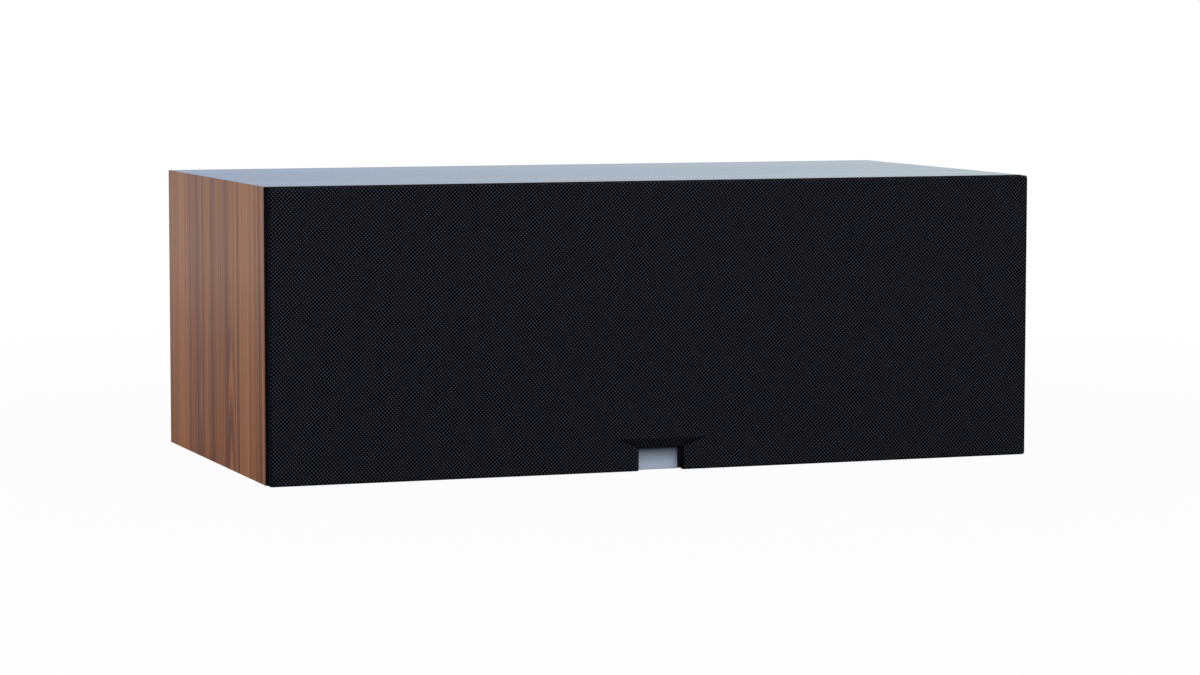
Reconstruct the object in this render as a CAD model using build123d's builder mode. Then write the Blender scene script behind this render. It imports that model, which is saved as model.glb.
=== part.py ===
from build123d import *
import os
from math import acos, hypot, sqrt, tan

# Centre channel loudspeaker: folded walnut cabinet, two woofers beside a tweeter, cloth grille.
# Millimetres. X runs along the cabinet, the grille faces -Y, Z is up, and the cabinet stands on Z = 0.

# Cabinet board, folded into a sleeve and closed by the rear panel
cabinet_width = 530.0
cabinet_height = 190.0
cabinet_depth = 255.0
board = 15.0
fold_radius = 0.4
glue_gap = 0.15

# Baffle, whose lip shows as a dark band between the cabinet and the grille
baffle_lip = 4.0
baffle_inset = 0.6
baffle_plug = 15.0
baffle_edge_radius = 0.8

# Grille and the notch in its lower edge that shows the badge
grille_thickness = 6.3
grille_seat_gap = 0.2
grille_inset = 0.1
grille_corner_radius = 1.6
grille_edge_radius = 1.8
cloth = 0.7
hem_width = 9.0
window_edge = 6.0
tweeter_window_edge = 2.0
notch_width = 32.0
notch_top = 15.4
notch_corner_radius = 1.0
scoop_width = 63.0
scoop_height = 6.2
scoop_depth = 4.4

# Badge, a bare metal plate let into the baffle's lower edge
badge_width = 27.6
badge_height = 14.8
badge_thickness = 1.2
badge_base = 0.3
badge_corner = 0.8
badge_bevel = 0.3
badge_fit = 0.1

# Holding magnets in the grille frame and behind the baffle's face
magnet_r = 4.0
grille_magnet_depth = 3.0
baffle_magnet_depth = 4.0
magnet_cover = 2.5
magnet_fit = 0.1
magnet_end_margin = 13.0
magnet_edge_margin = 12.0

# Woofer basket and front ring, radii from the driver's axis and depths behind the baffle's face
woofer_end_margin = 14.0
basket_r = 62.5
flange_width = 13.5
flange_thickness = 2.3
trim_thickness = 1.5
trim_gap = 0.5
cutout_gap = 1.0
seat_gap = 0.3
basket_sheet = 2.0
rim_depth = 6.0
landing_r = 40.0
landing_width = 7.0
landing_depth = 34.0
seat_depth = 48.0
seat_bore_r = 18.0
spokes = 6
spoke_window_width = 30.0
spoke_window_front = 12.0
spoke_window_back = 31.0
spoke_window_corner = 5.0

# Woofer cone, surround, dust cap and spider
lip_width = 5.0
lip_thickness = 0.9
roll_width = 9.5
roll_height = 3.5
cone_rim = 3.5
cone_depth = 23.0
cone_curve_r = 60.0
cone_thickness = 0.9
dust_cap_r = 20.0
dust_cap_height = 7.0
dust_cap_thickness = 0.7
spider_thickness = 0.6
spider_waves = 3
spider_wave_height = 1.4
spider_collar = 2.4
spider_edge = 0.5

# Woofer motor
coil_r = 12.6
former_thickness = 0.25
winding_thickness = 0.4
winding_length = 11.5
former_front = 22.0
bond_gap = 0.05
pole_gap = 0.35
plate_gap = 0.45
front_plate_r = 41.0
front_plate_thickness = 5.0
magnet_ring_r = 45.0
magnet_ring_bore_r = 21.0
magnet_ring_thickness = 16.0
yoke_thickness = 5.0
yoke_bevel = 1.5
pole_vent_r = 4.0

# Tweeter
tweeter_r = 52.0
tweeter_flange = 4.0
tweeter_rim_bevel = 0.5
tweeter_cutout_r = 41.0
tweeter_body_gap = 1.0
waveguide_mouth_r = 44.0
waveguide_throat_r = 16.6
waveguide_depth = 11.0
waveguide_curve_r = 48.0
throat_lip = 3.0
throat_lip_width = 4.0
dome_r = 12.7
dome_height = 5.0
dome_sheet = 0.4
tweeter_roll_height = 1.5
tweeter_lip_thickness = 0.6
tweeter_coil_gap = 0.35
tweeter_pole_drop = 0.8
tweeter_coil_thickness = 0.25
tweeter_coil_length = 7.0
tweeter_plate_gap = 0.4
tweeter_motor_r = 30.0
tweeter_plate_thickness = 4.0
tweeter_magnet_bore_r = 18.0
tweeter_magnet_thickness = 8.0
tweeter_yoke_thickness = 4.0
tweeter_vent_r = 3.0
rear_cup_depth = 14.0
rear_cup_wall = 2.0

# Reflex ports, moulded with a flare at each end
port_end_margin = 85.0
port_throat_r = 22.5
port_wall = 2.5
port_flare_r = 11.0
port_flange_width = 5.5
port_flange_bevel = 1.0
port_length = 115.0
rear_trim = 2.5
port_spigot_r = 30.0
port_spigot_gap = 0.4

# Terminal cup and binding posts
cup_width = 96.0
cup_height = 76.0
cup_corner = 8.0
cup_edge_radius = 1.2
cup_pocket_width = 66.0
cup_pocket_height = 46.0
cup_pocket_corner = 6.0
cup_pocket_depth = 27.0
cup_wall = 2.5
cup_floor = 3.0
cup_gap = 0.3
cup_screw_inset = 6.2
post_spacing = 19.05
post_r = 3.9
post_tip = 5.0
post_tail = 10.0
post_collar_r = 6.5
post_collar_length = 4.5
banana_r = 2.02
banana_length = 13.0
wire_hole_r = 1.7
wire_hole_gap = 0.7
cap_r = 7.5
cap_recess = 2.5
cap_end_wall = 2.0
cap_bevel = 0.8
cap_mouth_r = 2.8
cap_foot_gap = 0.3
cap_flutes = 8
cap_flute_r = 1.4
thread_gap = 0.05
insert_wall = 1.0
nut_r = 7.0
nut_thickness = 4.0
lug_thickness = 0.8
lug_width = 5.0
lug_length = 18.0
lug_solder = 4.0

# Crossover board on the cabinet floor, with its parts in a row
board_width = 70.0
board_length = 140.0
board_thickness = 1.6
board_rear_gap = 23.0
board_hole_inset = 5.0
spacer_height = 6.0
spacer_r = 3.5
woofer_coil_r = 19.0
woofer_coil_bore_r = 7.0
woofer_coil_height = 22.0
coil_flange = 1.5
coil_flange_lip = 2.0
tweeter_coil_r = 14.0
tweeter_coil_bore_r = 6.0
tweeter_coil_height = 14.0
electrolytic_r = 8.0
electrolytic_length = 30.0
electrolytic_groove = 0.8
film_length = 27.0
film_width = 14.0
film_height = 20.0
resistor_length = 48.0
resistor_width = 10.0
resistor_height = 9.5
part_spacing = 4.0
pad_inset = 8.0
pad_zone = 12.0

# Screws, pilot holes and push-on tabs
woofer_screw_r = 1.9
woofer_head_r = 3.6
woofer_screw_length = 15.0
small_screw_r = 1.6
small_head_r = 3.1
small_screw_length = 14.0
screw_gap = 0.1
tweeter_screws = 4
tab_width = 4.8
tab_thickness = 0.8
tab_length = 9.0
tab_spacing = 9.0
strip_width = 20.0
strip_length = 13.0
strip_thickness = 1.2
strip_gap = 1.0
tab_inset = 3.0
tweeter_tab_drop = 14.0

# Braces, wadding and leads
brace_thickness = 12.0
brace_gap = 18.0
brace_margin = 22.0
brace_corner = 20.0
wadding_thickness = 14.0
wadding_clearance = 2.0
lead_r = 1.3
lead_run = 30.0
lead_drop = 25.0
lead_rise = 36.0
lead_reach = 13.0
lead_bend_share = 0.45

# Levels along Y, from the grille's face to the rear trim
overall_depth = grille_thickness + grille_seat_gap + baffle_lip + cabinet_depth + rear_trim
grille_face_y = -overall_depth / 2
grille_back_y = grille_face_y + grille_thickness
baffle_face_y = grille_back_y + grille_seat_gap
sleeve_front_y = baffle_face_y + baffle_lip
baffle_back_y = sleeve_front_y + baffle_plug
sleeve_rear_y = sleeve_front_y + cabinet_depth
rear_y = sleeve_rear_y + rear_trim
panel_inner_y = sleeve_rear_y - board

# Places across the front and inside the cabinet
mid_z = cabinet_height / 2
inner_width = cabinet_width - 2 * board
inner_height = cabinet_height - 2 * board
floor_z = board
flange_r = basket_r + flange_width
woofer_x = inner_width / 2 - woofer_end_margin - flange_r
port_x = inner_width / 2 - port_end_margin
brace_x = woofer_x - basket_r - brace_gap - brace_thickness / 2
sides = {"left": -1, "right": 1}


def front_plane(y):
    # Faces the listener: its x is X and its y is Z
    return Plane(origin=(0, y, 0), x_dir=(1, 0, 0), z_dir=(0, -1, 0))


def rear_plane(y):
    # Faces the wall: its x is -X and its y is Z
    return Plane(origin=(0, y, 0), x_dir=(-1, 0, 0), z_dir=(0, 1, 0))


def driver_section(x):
    # Half section of a driver: its x is the radius and its y the depth behind the baffle's face
    return Plane(origin=(x, baffle_face_y, mid_z), x_dir=(1, 0, 0), z_dir=(0, 0, 1))


def rear_section(x):
    # Half section of a rear fitting: its x is the radius and its y the depth inside the rear trim
    return Plane(origin=(x, rear_y, mid_z), x_dir=(1, 0, 0), z_dir=(0, 0, -1))


def along_y(x):
    return Axis((x, 0, mid_z), (0, 1, 0))


def ring(inner_r, outer_r, start, end):
    # Rectangle of a half section, from one radius and depth to another
    with Locations((inner_r, start)):
        Rectangle(outer_r - inner_r, end - start, align=(Align.MIN, Align.MIN))


def save(part, name):
    part.label = name
    export_step(part, f"parts/{name}.step")


os.makedirs("parts", exist_ok=True)

# Cabinet sleeve
with BuildPart() as cabinet_sleeve:
    with BuildSketch(front_plane(sleeve_rear_y)):
        with Locations((0, mid_z)):
            Rectangle(cabinet_width, cabinet_height)
            Rectangle(inner_width, inner_height, mode=Mode.SUBTRACT)
    extrude(amount=cabinet_depth)
    outer_folds = cabinet_sleeve.edges().filter_by(Axis.Y).group_by(lambda e: abs(e.center().X))[-1]
    front_rim = cabinet_sleeve.faces().sort_by(Axis.Y)[0].outer_wire().edges()
    fillet(outer_folds + front_rim, fold_radius)

# Front baffle
woofer_cutout_r = basket_r + cutout_gap
woofer_seat_depth = trim_thickness + flange_thickness
woofer_screw_circle = (woofer_cutout_r + flange_r) / 2
tweeter_screw_circle = (tweeter_cutout_r + tweeter_r) / 2
magnet_pitch_x = (inner_width - 2 * magnet_end_margin) / 3
magnet_pitch_z = inner_height - 2 * magnet_edge_margin
baffle_width = cabinet_width - 2 * baffle_inset
baffle_height = cabinet_height - 2 * baffle_inset
with BuildPart(front_plane(baffle_face_y)) as front_baffle:
    with BuildSketch(front_plane(sleeve_front_y)):
        with Locations((0, mid_z)):
            RectangleRounded(baffle_width, baffle_height, baffle_edge_radius)
    extrude(amount=baffle_lip)
    with BuildSketch(front_plane(sleeve_front_y)):
        with Locations((0, mid_z)):
            Rectangle(inner_width - 2 * glue_gap, inner_height - 2 * glue_gap)
    extrude(amount=-baffle_plug)
    with Locations(*[(side * woofer_x, mid_z) for side in sides.values()]):
        CounterBoreHole(woofer_cutout_r, flange_r + seat_gap, woofer_seat_depth)
        with PolarLocations(woofer_screw_circle, spokes):
            Hole(woofer_screw_r + screw_gap, trim_thickness + woofer_screw_length + screw_gap)
    with Locations((0, mid_z)):
        CounterBoreHole(tweeter_cutout_r, tweeter_r + seat_gap, tweeter_flange)
        with PolarLocations(tweeter_screw_circle, tweeter_screws, start_angle=45):
            Hole(small_screw_r + screw_gap, small_screw_length + screw_gap)
    with BuildSketch(front_plane(baffle_back_y)):
        with Locations((0, mid_z)):
            with GridLocations(magnet_pitch_x, magnet_pitch_z, 4, 2):
                Circle(magnet_r + magnet_fit)
    extrude(amount=baffle_lip + baffle_plug - magnet_cover, mode=Mode.SUBTRACT)
    badge_pocket_height = 2 * (badge_base + badge_height + badge_fit)
    with BuildSketch(front_plane(baffle_face_y)):
        RectangleRounded(badge_width + 2 * badge_fit, badge_pocket_height, badge_corner + badge_fit)
    extrude(amount=-badge_thickness, mode=Mode.SUBTRACT)

# Rear panel
pocket_outer_width = cup_pocket_width + 2 * cup_wall
pocket_outer_height = cup_pocket_height + 2 * cup_wall
cup_screw_pitch_x = cup_width - 2 * cup_screw_inset
cup_screw_pitch_z = cup_height - 2 * cup_screw_inset
with BuildPart(rear_plane(sleeve_rear_y)) as rear_panel:
    with BuildSketch(rear_plane(panel_inner_y)):
        with Locations((0, mid_z)):
            Rectangle(inner_width - 2 * glue_gap, inner_height - 2 * glue_gap)
            RectangleRounded(
                pocket_outer_width + 2 * cup_gap,
                pocket_outer_height + 2 * cup_gap,
                cup_pocket_corner,
                mode=Mode.SUBTRACT,
            )
        with Locations((port_x, mid_z), (-port_x, mid_z)):
            Circle(port_spigot_r + port_spigot_gap, mode=Mode.SUBTRACT)
    extrude(amount=board)
    with Locations((0, mid_z)):
        with GridLocations(cup_screw_pitch_x, cup_screw_pitch_z, 2, 2):
            Hole(small_screw_r + screw_gap, small_screw_length - rear_trim + screw_gap)


# Braces with a window for air and leads
def window_brace(x):
    brace_depth = panel_inner_y - baffle_back_y - 2 * glue_gap
    brace_height = inner_height - 2 * glue_gap
    with BuildPart() as brace:
        with BuildSketch(Plane.YZ.offset(x - brace_thickness / 2)):
            with Locations(((baffle_back_y + panel_inner_y) / 2, mid_z)):
                Rectangle(brace_depth, brace_height)
                RectangleRounded(
                    brace_depth - 2 * brace_margin,
                    brace_height - 2 * brace_margin,
                    brace_corner,
                    mode=Mode.SUBTRACT,
                )
        extrude(amount=brace_thickness)
    return brace.part


# Wadding that lines the top, the floor and the end of each woofer chamber
chamber_start = brace_x + brace_thickness / 2 + wadding_clearance
chamber_width = inner_width / 2 - chamber_start - glue_gap
wadding_front_y = baffle_face_y + seat_depth
wadding_length = panel_inner_y - wadding_clearance - wadding_front_y
with BuildPart() as wadding:
    with BuildSketch(front_plane(wadding_front_y)):
        for side in sides.values():
            with Locations((side * (chamber_start + chamber_width / 2), mid_z)):
                Rectangle(chamber_width, inner_height - 2 * glue_gap)
            with Locations((side * (chamber_start + (chamber_width - wadding_thickness) / 2), mid_z)):
                Rectangle(
                    chamber_width - wadding_thickness,
                    inner_height - 2 * glue_gap - 2 * wadding_thickness,
                    mode=Mode.SUBTRACT,
                )
    extrude(amount=-wadding_length)


# Arcs of the turned parts
def bow_centre(outer, inner, radius):
    # Centre of the circle through two points of a half section, behind and outside their chord
    drop = inner[1] - outer[1]
    reach = outer[0] - inner[0]
    chord = hypot(drop, reach)
    rise = sqrt(radius**2 - chord**2 / 4)
    return (
        (outer[0] + inner[0]) / 2 + rise * drop / chord,
        (outer[1] + inner[1]) / 2 + rise * reach / chord,
    )


def bow_middle(start, end, centre, radius):
    # Point of the circle half way between two of its points
    out_r = (start[0] + end[0]) / 2 - centre[0]
    out_depth = (start[1] + end[1]) / 2 - centre[1]
    scale = radius / hypot(out_r, out_depth)
    return (centre[0] + out_r * scale, centre[1] + out_depth * scale)


def toward(point, centre, distance):
    length = hypot(centre[0] - point[0], centre[1] - point[1])
    return (
        point[0] + (centre[0] - point[0]) * distance / length,
        point[1] + (centre[1] - point[1]) * distance / length,
    )


def dome_section(rim_r, rim_depth_at, height, sheet):
    # Half section of a thin spherical cap that bulges forward from a flat rim
    outer_r = (rim_r**2 + height**2) / (2 * height)
    centre = rim_depth_at - height + outer_r
    inner_r = outer_r - sheet
    inner_rim_r = sqrt(inner_r**2 - (centre - rim_depth_at) ** 2)
    with BuildLine() as outline:
        ThreePointArc(
            (0, centre - outer_r),
            (rim_r / 2, centre - sqrt(outer_r**2 - (rim_r / 2) ** 2)),
            (rim_r, rim_depth_at),
        )
        Line((rim_r, rim_depth_at), (inner_rim_r, rim_depth_at))
        ThreePointArc(
            (inner_rim_r, rim_depth_at),
            (inner_rim_r / 2, centre - sqrt(inner_r**2 - (inner_rim_r / 2) ** 2)),
            (0, centre - inner_r),
        )
        Line((0, centre - inner_r), (0, centre - outer_r))
    make_face(outline.edges())


def roll_section(edge_in_r, roll_in_r, roll_out_r, edge_out_r, front, back, height):
    # Half section of a half roll surround with a flat lip at each edge
    middle_r = (roll_in_r + roll_out_r) / 2
    with BuildLine() as outline:
        Polyline((roll_in_r, back), (edge_in_r, back), (edge_in_r, front), (roll_in_r, front))
        ThreePointArc((roll_in_r, front), (middle_r, front - height), (roll_out_r, front))
        Polyline((roll_out_r, front), (edge_out_r, front), (edge_out_r, back), (roll_out_r, back))
        ThreePointArc((roll_out_r, back), (middle_r, back - height), (roll_in_r, back))
    make_face(outline.edges())


# Woofer levels and radii
roll_outer_r = basket_r - lip_width
roll_inner_r = roll_outer_r - roll_width
landing_outer_r = landing_r + landing_width
landing_back = landing_depth + basket_sheet
plate_front = seat_depth + basket_sheet
plate_back = plate_front + front_plate_thickness
ring_back = plate_back + magnet_ring_thickness
pole_r = coil_r - former_thickness - pole_gap
plate_bore_r = coil_r + winding_thickness + plate_gap
winding_front = (plate_front + plate_back - winding_length) / 2
cone_outer = (roll_inner_r - cone_rim, trim_thickness)
cone_inner = (coil_r + bond_gap, trim_thickness + cone_depth)
cone_centre = bow_centre(cone_outer, cone_inner, cone_curve_r)


def trim_ring(x):
    with BuildPart() as part:
        with BuildSketch(driver_section(x)):
            ring(basket_r + trim_gap, flange_r, 0, trim_thickness)
        revolve(axis=along_y(x))
        chamfer(part.faces().sort_by(Axis.Y)[0].edges(), trim_gap)
    return part.part


def basket(x):
    shelf_r = basket_r - lip_width
    wall_r = basket_r - basket_sheet
    neck_r = landing_r - basket_sheet
    with BuildPart(front_plane(baffle_face_y + trim_thickness)) as part:
        with BuildSketch(driver_section(x)):
            with BuildLine():
                Polyline(
                    (shelf_r, trim_thickness),
                    (flange_r, trim_thickness),
                    (flange_r, woofer_seat_depth),
                    (basket_r, woofer_seat_depth),
                    (basket_r, rim_depth),
                    (landing_outer_r, landing_back),
                    (landing_r, landing_back),
                    (landing_r, plate_front),
                    (seat_bore_r, plate_front),
                    (seat_bore_r, seat_depth),
                    (neck_r, seat_depth),
                    (neck_r, landing_depth),
                    (landing_outer_r - basket_sheet, landing_depth),
                    (wall_r, rim_depth),
                    (wall_r, woofer_seat_depth),
                    (shelf_r, woofer_seat_depth),
                    close=True,
                )
            make_face()
        revolve(axis=along_y(x))
        with BuildSketch(front_plane(baffle_face_y + spoke_window_back)):
            with Locations((x, mid_z)):
                with PolarLocations((landing_r + basket_r) / 2, spokes, start_angle=180 / spokes):
                    RectangleRounded(
                        basket_r - landing_r + 2 * cutout_gap,
                        spoke_window_width,
                        spoke_window_corner,
                    )
        extrude(amount=spoke_window_back - spoke_window_front, mode=Mode.SUBTRACT)
        with Locations((x, mid_z)):
            with PolarLocations(woofer_screw_circle, spokes):
                CounterSinkHole(
                    woofer_screw_r + screw_gap,
                    woofer_head_r + screw_gap,
                    counter_sink_angle=90,
                )
    return part.part


def surround(x):
    with BuildPart() as part:
        with BuildSketch(driver_section(x)):
            roll_section(
                roll_inner_r - cone_rim,
                roll_inner_r,
                roll_outer_r,
                basket_r,
                trim_thickness - lip_thickness,
                trim_thickness,
                roll_height,
            )
        revolve(axis=along_y(x))
    return part.part


def cone(x):
    back_outer = toward(cone_outer, cone_centre, cone_thickness)
    back_inner = toward(cone_inner, cone_centre, cone_thickness)
    back_curve_r = cone_curve_r - cone_thickness
    front_middle = bow_middle(cone_outer, cone_inner, cone_centre, cone_curve_r)
    back_middle = bow_middle(back_outer, back_inner, cone_centre, back_curve_r)
    with BuildPart() as part:
        with BuildSketch(driver_section(x)):
            with BuildLine():
                Line((roll_inner_r, trim_thickness), cone_outer)
                ThreePointArc(cone_outer, front_middle, cone_inner)
                Line(cone_inner, back_inner)
                ThreePointArc(back_inner, back_middle, back_outer)
                Polyline(back_outer, (roll_inner_r, back_outer[1]), (roll_inner_r, trim_thickness))
            make_face()
        revolve(axis=along_y(x))
    return part.part


def dust_cap(x):
    seat = cone_centre[1] - sqrt(cone_curve_r**2 - (cone_centre[0] - dust_cap_r) ** 2)
    with BuildPart() as part:
        with BuildSketch(driver_section(x)):
            dome_section(dust_cap_r, seat - bond_gap, dust_cap_height, dust_cap_thickness)
        revolve(axis=along_y(x))
    return part.part


def spider(x):
    inner_r = coil_r + bond_gap
    outer_r = landing_outer_r - basket_sheet - spider_edge
    wave_start_r = inner_r + spider_collar
    wave_end_r = landing_r - basket_sheet - spider_edge
    half_wave = (wave_end_r - wave_start_r) / (2 * spider_waves)
    wave = []
    for count in range(2 * spider_waves):
        crest = spider_wave_height if count % 2 else -spider_wave_height
        wave.append((wave_start_r + half_wave * (count + 0.5), crest))
    line = [(inner_r, 0), (wave_start_r, 0)] + wave + [(wave_end_r, 0), (outer_r, 0)]
    front = [(r, landing_depth - spider_thickness + rise) for r, rise in line]
    back = [(r, landing_depth + rise) for r, rise in reversed(line)]
    with BuildPart() as part:
        with BuildSketch(driver_section(x)):
            with BuildLine():
                Polyline(*front, *back, close=True)
            make_face()
        revolve(axis=along_y(x))
    return part.part


def voice_coil(x):
    former_back = winding_front + winding_length + winding_thickness
    with BuildPart() as part:
        with BuildSketch(driver_section(x)):
            ring(coil_r - former_thickness, coil_r, former_front, former_back)
            ring(coil_r, coil_r + winding_thickness, winding_front, winding_front + winding_length)
        revolve(axis=along_y(x))
    return part.part


def front_plate(x):
    with BuildPart() as part:
        with BuildSketch(driver_section(x)):
            ring(plate_bore_r, front_plate_r, plate_front, plate_back)
        revolve(axis=along_y(x))
    return part.part


def ring_magnet(x):
    with BuildPart() as part:
        with BuildSketch(driver_section(x)):
            ring(magnet_ring_bore_r, magnet_ring_r, plate_back, ring_back)
        revolve(axis=along_y(x))
    return part.part


def yoke(x):
    with BuildPart() as part:
        with BuildSketch(driver_section(x)):
            ring(pole_vent_r, pole_r, plate_front, ring_back)
            ring(pole_vent_r, front_plate_r, ring_back, ring_back + yoke_thickness)
        revolve(axis=along_y(x))
        chamfer(part.faces().sort_by(Axis.Y)[-1].outer_wire().edges(), yoke_bevel)
    return part.part


# Tweeter levels
throat_back = waveguide_depth + throat_lip
motor_front = throat_back + tweeter_lip_thickness
motor_plate_back = motor_front + tweeter_plate_thickness
motor_magnet_back = motor_plate_back + tweeter_magnet_thickness
motor_back = motor_magnet_back + tweeter_yoke_thickness
tweeter_back = motor_back + rear_cup_depth
tweeter_pole_r = dome_r - tweeter_coil_thickness - tweeter_coil_gap

# Tweeter faceplate with its waveguide
mouth = (waveguide_mouth_r, 0)
throat = (waveguide_throat_r, waveguide_depth)
waveguide_centre = bow_centre(mouth, throat, waveguide_curve_r)
with BuildPart(front_plane(baffle_face_y)) as tweeter_faceplate:
    with BuildSketch(driver_section(0)):
        with BuildLine():
            ThreePointArc(mouth, bow_middle(mouth, throat, waveguide_centre, waveguide_curve_r), throat)
            Polyline(
                throat,
                (waveguide_throat_r, throat_back),
                (waveguide_throat_r + throat_lip_width, throat_back),
                (tweeter_cutout_r - tweeter_body_gap, tweeter_flange),
                (tweeter_r, tweeter_flange),
                (tweeter_r, tweeter_rim_bevel),
                (tweeter_r - tweeter_rim_bevel, 0),
                mouth,
            )
        make_face()
    revolve(axis=along_y(0))
    with Locations((0, mid_z)):
        with PolarLocations(tweeter_screw_circle, tweeter_screws, start_angle=45):
            CounterSinkHole(small_screw_r + screw_gap, small_head_r + screw_gap, counter_sink_angle=90)

with BuildPart() as tweeter_surround:
    with BuildSketch(driver_section(0)):
        roll_section(
            dome_r + bond_gap,
            dome_r + tweeter_plate_gap,
            waveguide_throat_r - tweeter_plate_gap,
            waveguide_throat_r + throat_lip_width,
            throat_back,
            motor_front,
            tweeter_roll_height,
        )
    revolve(axis=along_y(0))

with BuildPart() as tweeter_dome:
    with BuildSketch(driver_section(0)):
        dome_section(dome_r, motor_front, dome_height, dome_sheet)
    revolve(axis=along_y(0))

with BuildPart() as tweeter_voice_coil:
    with BuildSketch(driver_section(0)):
        ring(
            dome_r - tweeter_coil_thickness,
            dome_r,
            motor_front + bond_gap,
            motor_front + bond_gap + tweeter_coil_length,
        )
    revolve(axis=along_y(0))

with BuildPart() as tweeter_front_plate:
    with BuildSketch(driver_section(0)):
        ring(dome_r + tweeter_plate_gap, tweeter_motor_r, motor_front, motor_plate_back)
    revolve(axis=along_y(0))

with BuildPart() as tweeter_magnet:
    with BuildSketch(driver_section(0)):
        ring(tweeter_magnet_bore_r, tweeter_motor_r, motor_plate_back, motor_magnet_back)
    revolve(axis=along_y(0))

with BuildPart() as tweeter_yoke:
    with BuildSketch(driver_section(0)):
        ring(tweeter_vent_r, tweeter_pole_r, motor_front + tweeter_pole_drop, motor_magnet_back)
        ring(tweeter_vent_r, tweeter_motor_r, motor_magnet_back, motor_back)
    revolve(axis=along_y(0))

with BuildPart() as tweeter_rear_cup:
    with BuildSketch(driver_section(0)):
        ring(tweeter_motor_r - rear_cup_wall, tweeter_motor_r, motor_back, tweeter_back)
        ring(0, tweeter_motor_r - rear_cup_wall, tweeter_back - rear_cup_wall, tweeter_back)
    revolve(axis=along_y(0))


# Reflex ports
def port(x):
    tube_r = port_throat_r + port_wall
    mouth_r = port_throat_r + port_flare_r
    port_flange_r = mouth_r + port_flange_width
    panel_depth = rear_trim + board
    inner_flare = port_length - port_flare_r
    outer_flare_r = port_flare_r - port_wall
    slant = sqrt(0.5)
    with BuildPart() as part:
        with BuildSketch(rear_section(x)):
            with BuildLine():
                ThreePointArc(
                    (mouth_r, 0),
                    (mouth_r - port_flare_r * slant, port_flare_r - port_flare_r * slant),
                    (port_throat_r, port_flare_r),
                )
                Line((port_throat_r, port_flare_r), (port_throat_r, inner_flare))
                ThreePointArc(
                    (port_throat_r, inner_flare),
                    (mouth_r - port_flare_r * slant, inner_flare + port_flare_r * slant),
                    (mouth_r, port_length),
                )
                Line((mouth_r, port_length), (mouth_r, port_length - port_wall))
                ThreePointArc(
                    (mouth_r, port_length - port_wall),
                    (mouth_r - outer_flare_r * slant, inner_flare + outer_flare_r * slant),
                    (tube_r, inner_flare),
                )
                Polyline(
                    (tube_r, inner_flare),
                    (tube_r, panel_depth + port_spigot_r - tube_r),
                    (port_spigot_r, panel_depth),
                    (port_spigot_r, rear_trim),
                    (port_flange_r, rear_trim),
                    (port_flange_r, port_flange_bevel),
                    (port_flange_r - port_flange_bevel, 0),
                    (mouth_r, 0),
                )
            make_face()
        revolve(axis=along_y(x))
    return part.part


# Terminal cup
with BuildPart(rear_plane(rear_y)) as terminal_cup:
    with BuildSketch(rear_plane(rear_y)):
        with Locations((0, mid_z)):
            RectangleRounded(cup_width, cup_height, cup_corner)
    extrude(amount=-rear_trim)
    fillet(terminal_cup.faces().sort_by(Axis.Y)[-1].edges(), cup_edge_radius)
    with BuildSketch(rear_plane(rear_y)):
        with Locations((0, mid_z)):
            RectangleRounded(pocket_outer_width, pocket_outer_height, cup_pocket_corner)
    extrude(amount=-(cup_pocket_depth + cup_floor))
    with BuildSketch(rear_plane(rear_y)):
        with Locations((0, mid_z)):
            RectangleRounded(cup_pocket_width, cup_pocket_height, cup_pocket_corner - cup_wall)
    extrude(amount=-cup_pocket_depth, mode=Mode.SUBTRACT)
    with Locations((0, mid_z)):
        with GridLocations(post_spacing, 0, 2, 1):
            Hole(post_r + thread_gap)
        with GridLocations(cup_screw_pitch_x, cup_screw_pitch_z, 2, 2):
            CounterSinkHole(small_screw_r + screw_gap, small_head_r + screw_gap, counter_sink_angle=90)

# Binding posts, each a stud with a collar, a threaded insert and a knob
collar_rear = cup_pocket_depth - post_collar_length
floor_inner = cup_pocket_depth + cup_floor
cap_foot = collar_rear - cap_foot_gap
insert_r = post_r + thread_gap + insert_wall
banana_end = post_tip + banana_length


def post(x):
    with BuildPart() as part:
        with BuildSketch(rear_section(x)):
            ring(banana_r, post_r, post_tip, banana_end)
            ring(0, post_r, banana_end, floor_inner + post_tail)
            ring(0, post_collar_r, collar_rear, cup_pocket_depth)
        revolve(axis=along_y(x))
        with BuildSketch(Plane.XY.offset(mid_z)):
            with Locations((x, rear_y - banana_end - wire_hole_gap - wire_hole_r)):
                Circle(wire_hole_r)
        extrude(amount=post_collar_r, both=True, mode=Mode.SUBTRACT)
    return part.part


def post_insert(x):
    with BuildPart() as part:
        with BuildSketch(rear_section(x)):
            ring(post_r + thread_gap, insert_r, cap_recess + cap_end_wall + thread_gap, cap_foot)
        revolve(axis=along_y(x))
    return part.part


def post_cap(x):
    with BuildPart() as part:
        with BuildSketch(rear_section(x)):
            ring(cap_mouth_r, cap_r, cap_recess, cap_recess + cap_end_wall)
            ring(insert_r + thread_gap, cap_r, cap_recess + cap_end_wall, cap_foot)
        revolve(axis=along_y(x))
        chamfer(part.faces().sort_by(Axis.Y)[-1].outer_wire().edges(), cap_bevel)
        with BuildSketch(rear_plane(rear_y - cap_recess)):
            with Locations((-x, mid_z)):
                with PolarLocations(cap_r + cap_flute_r / 2, cap_flutes):
                    Circle(cap_flute_r)
        extrude(amount=cap_recess - cap_foot, mode=Mode.SUBTRACT)
    return part.part


with BuildPart() as post_nuts:
    with BuildSketch(front_plane(rear_y - floor_inner - lug_thickness)):
        with Locations((0, mid_z)):
            with GridLocations(post_spacing, 0, 2, 1):
                RegularPolygon(nut_r, 6)
                Circle(post_r + thread_gap, mode=Mode.SUBTRACT)
    extrude(amount=nut_thickness)

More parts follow.
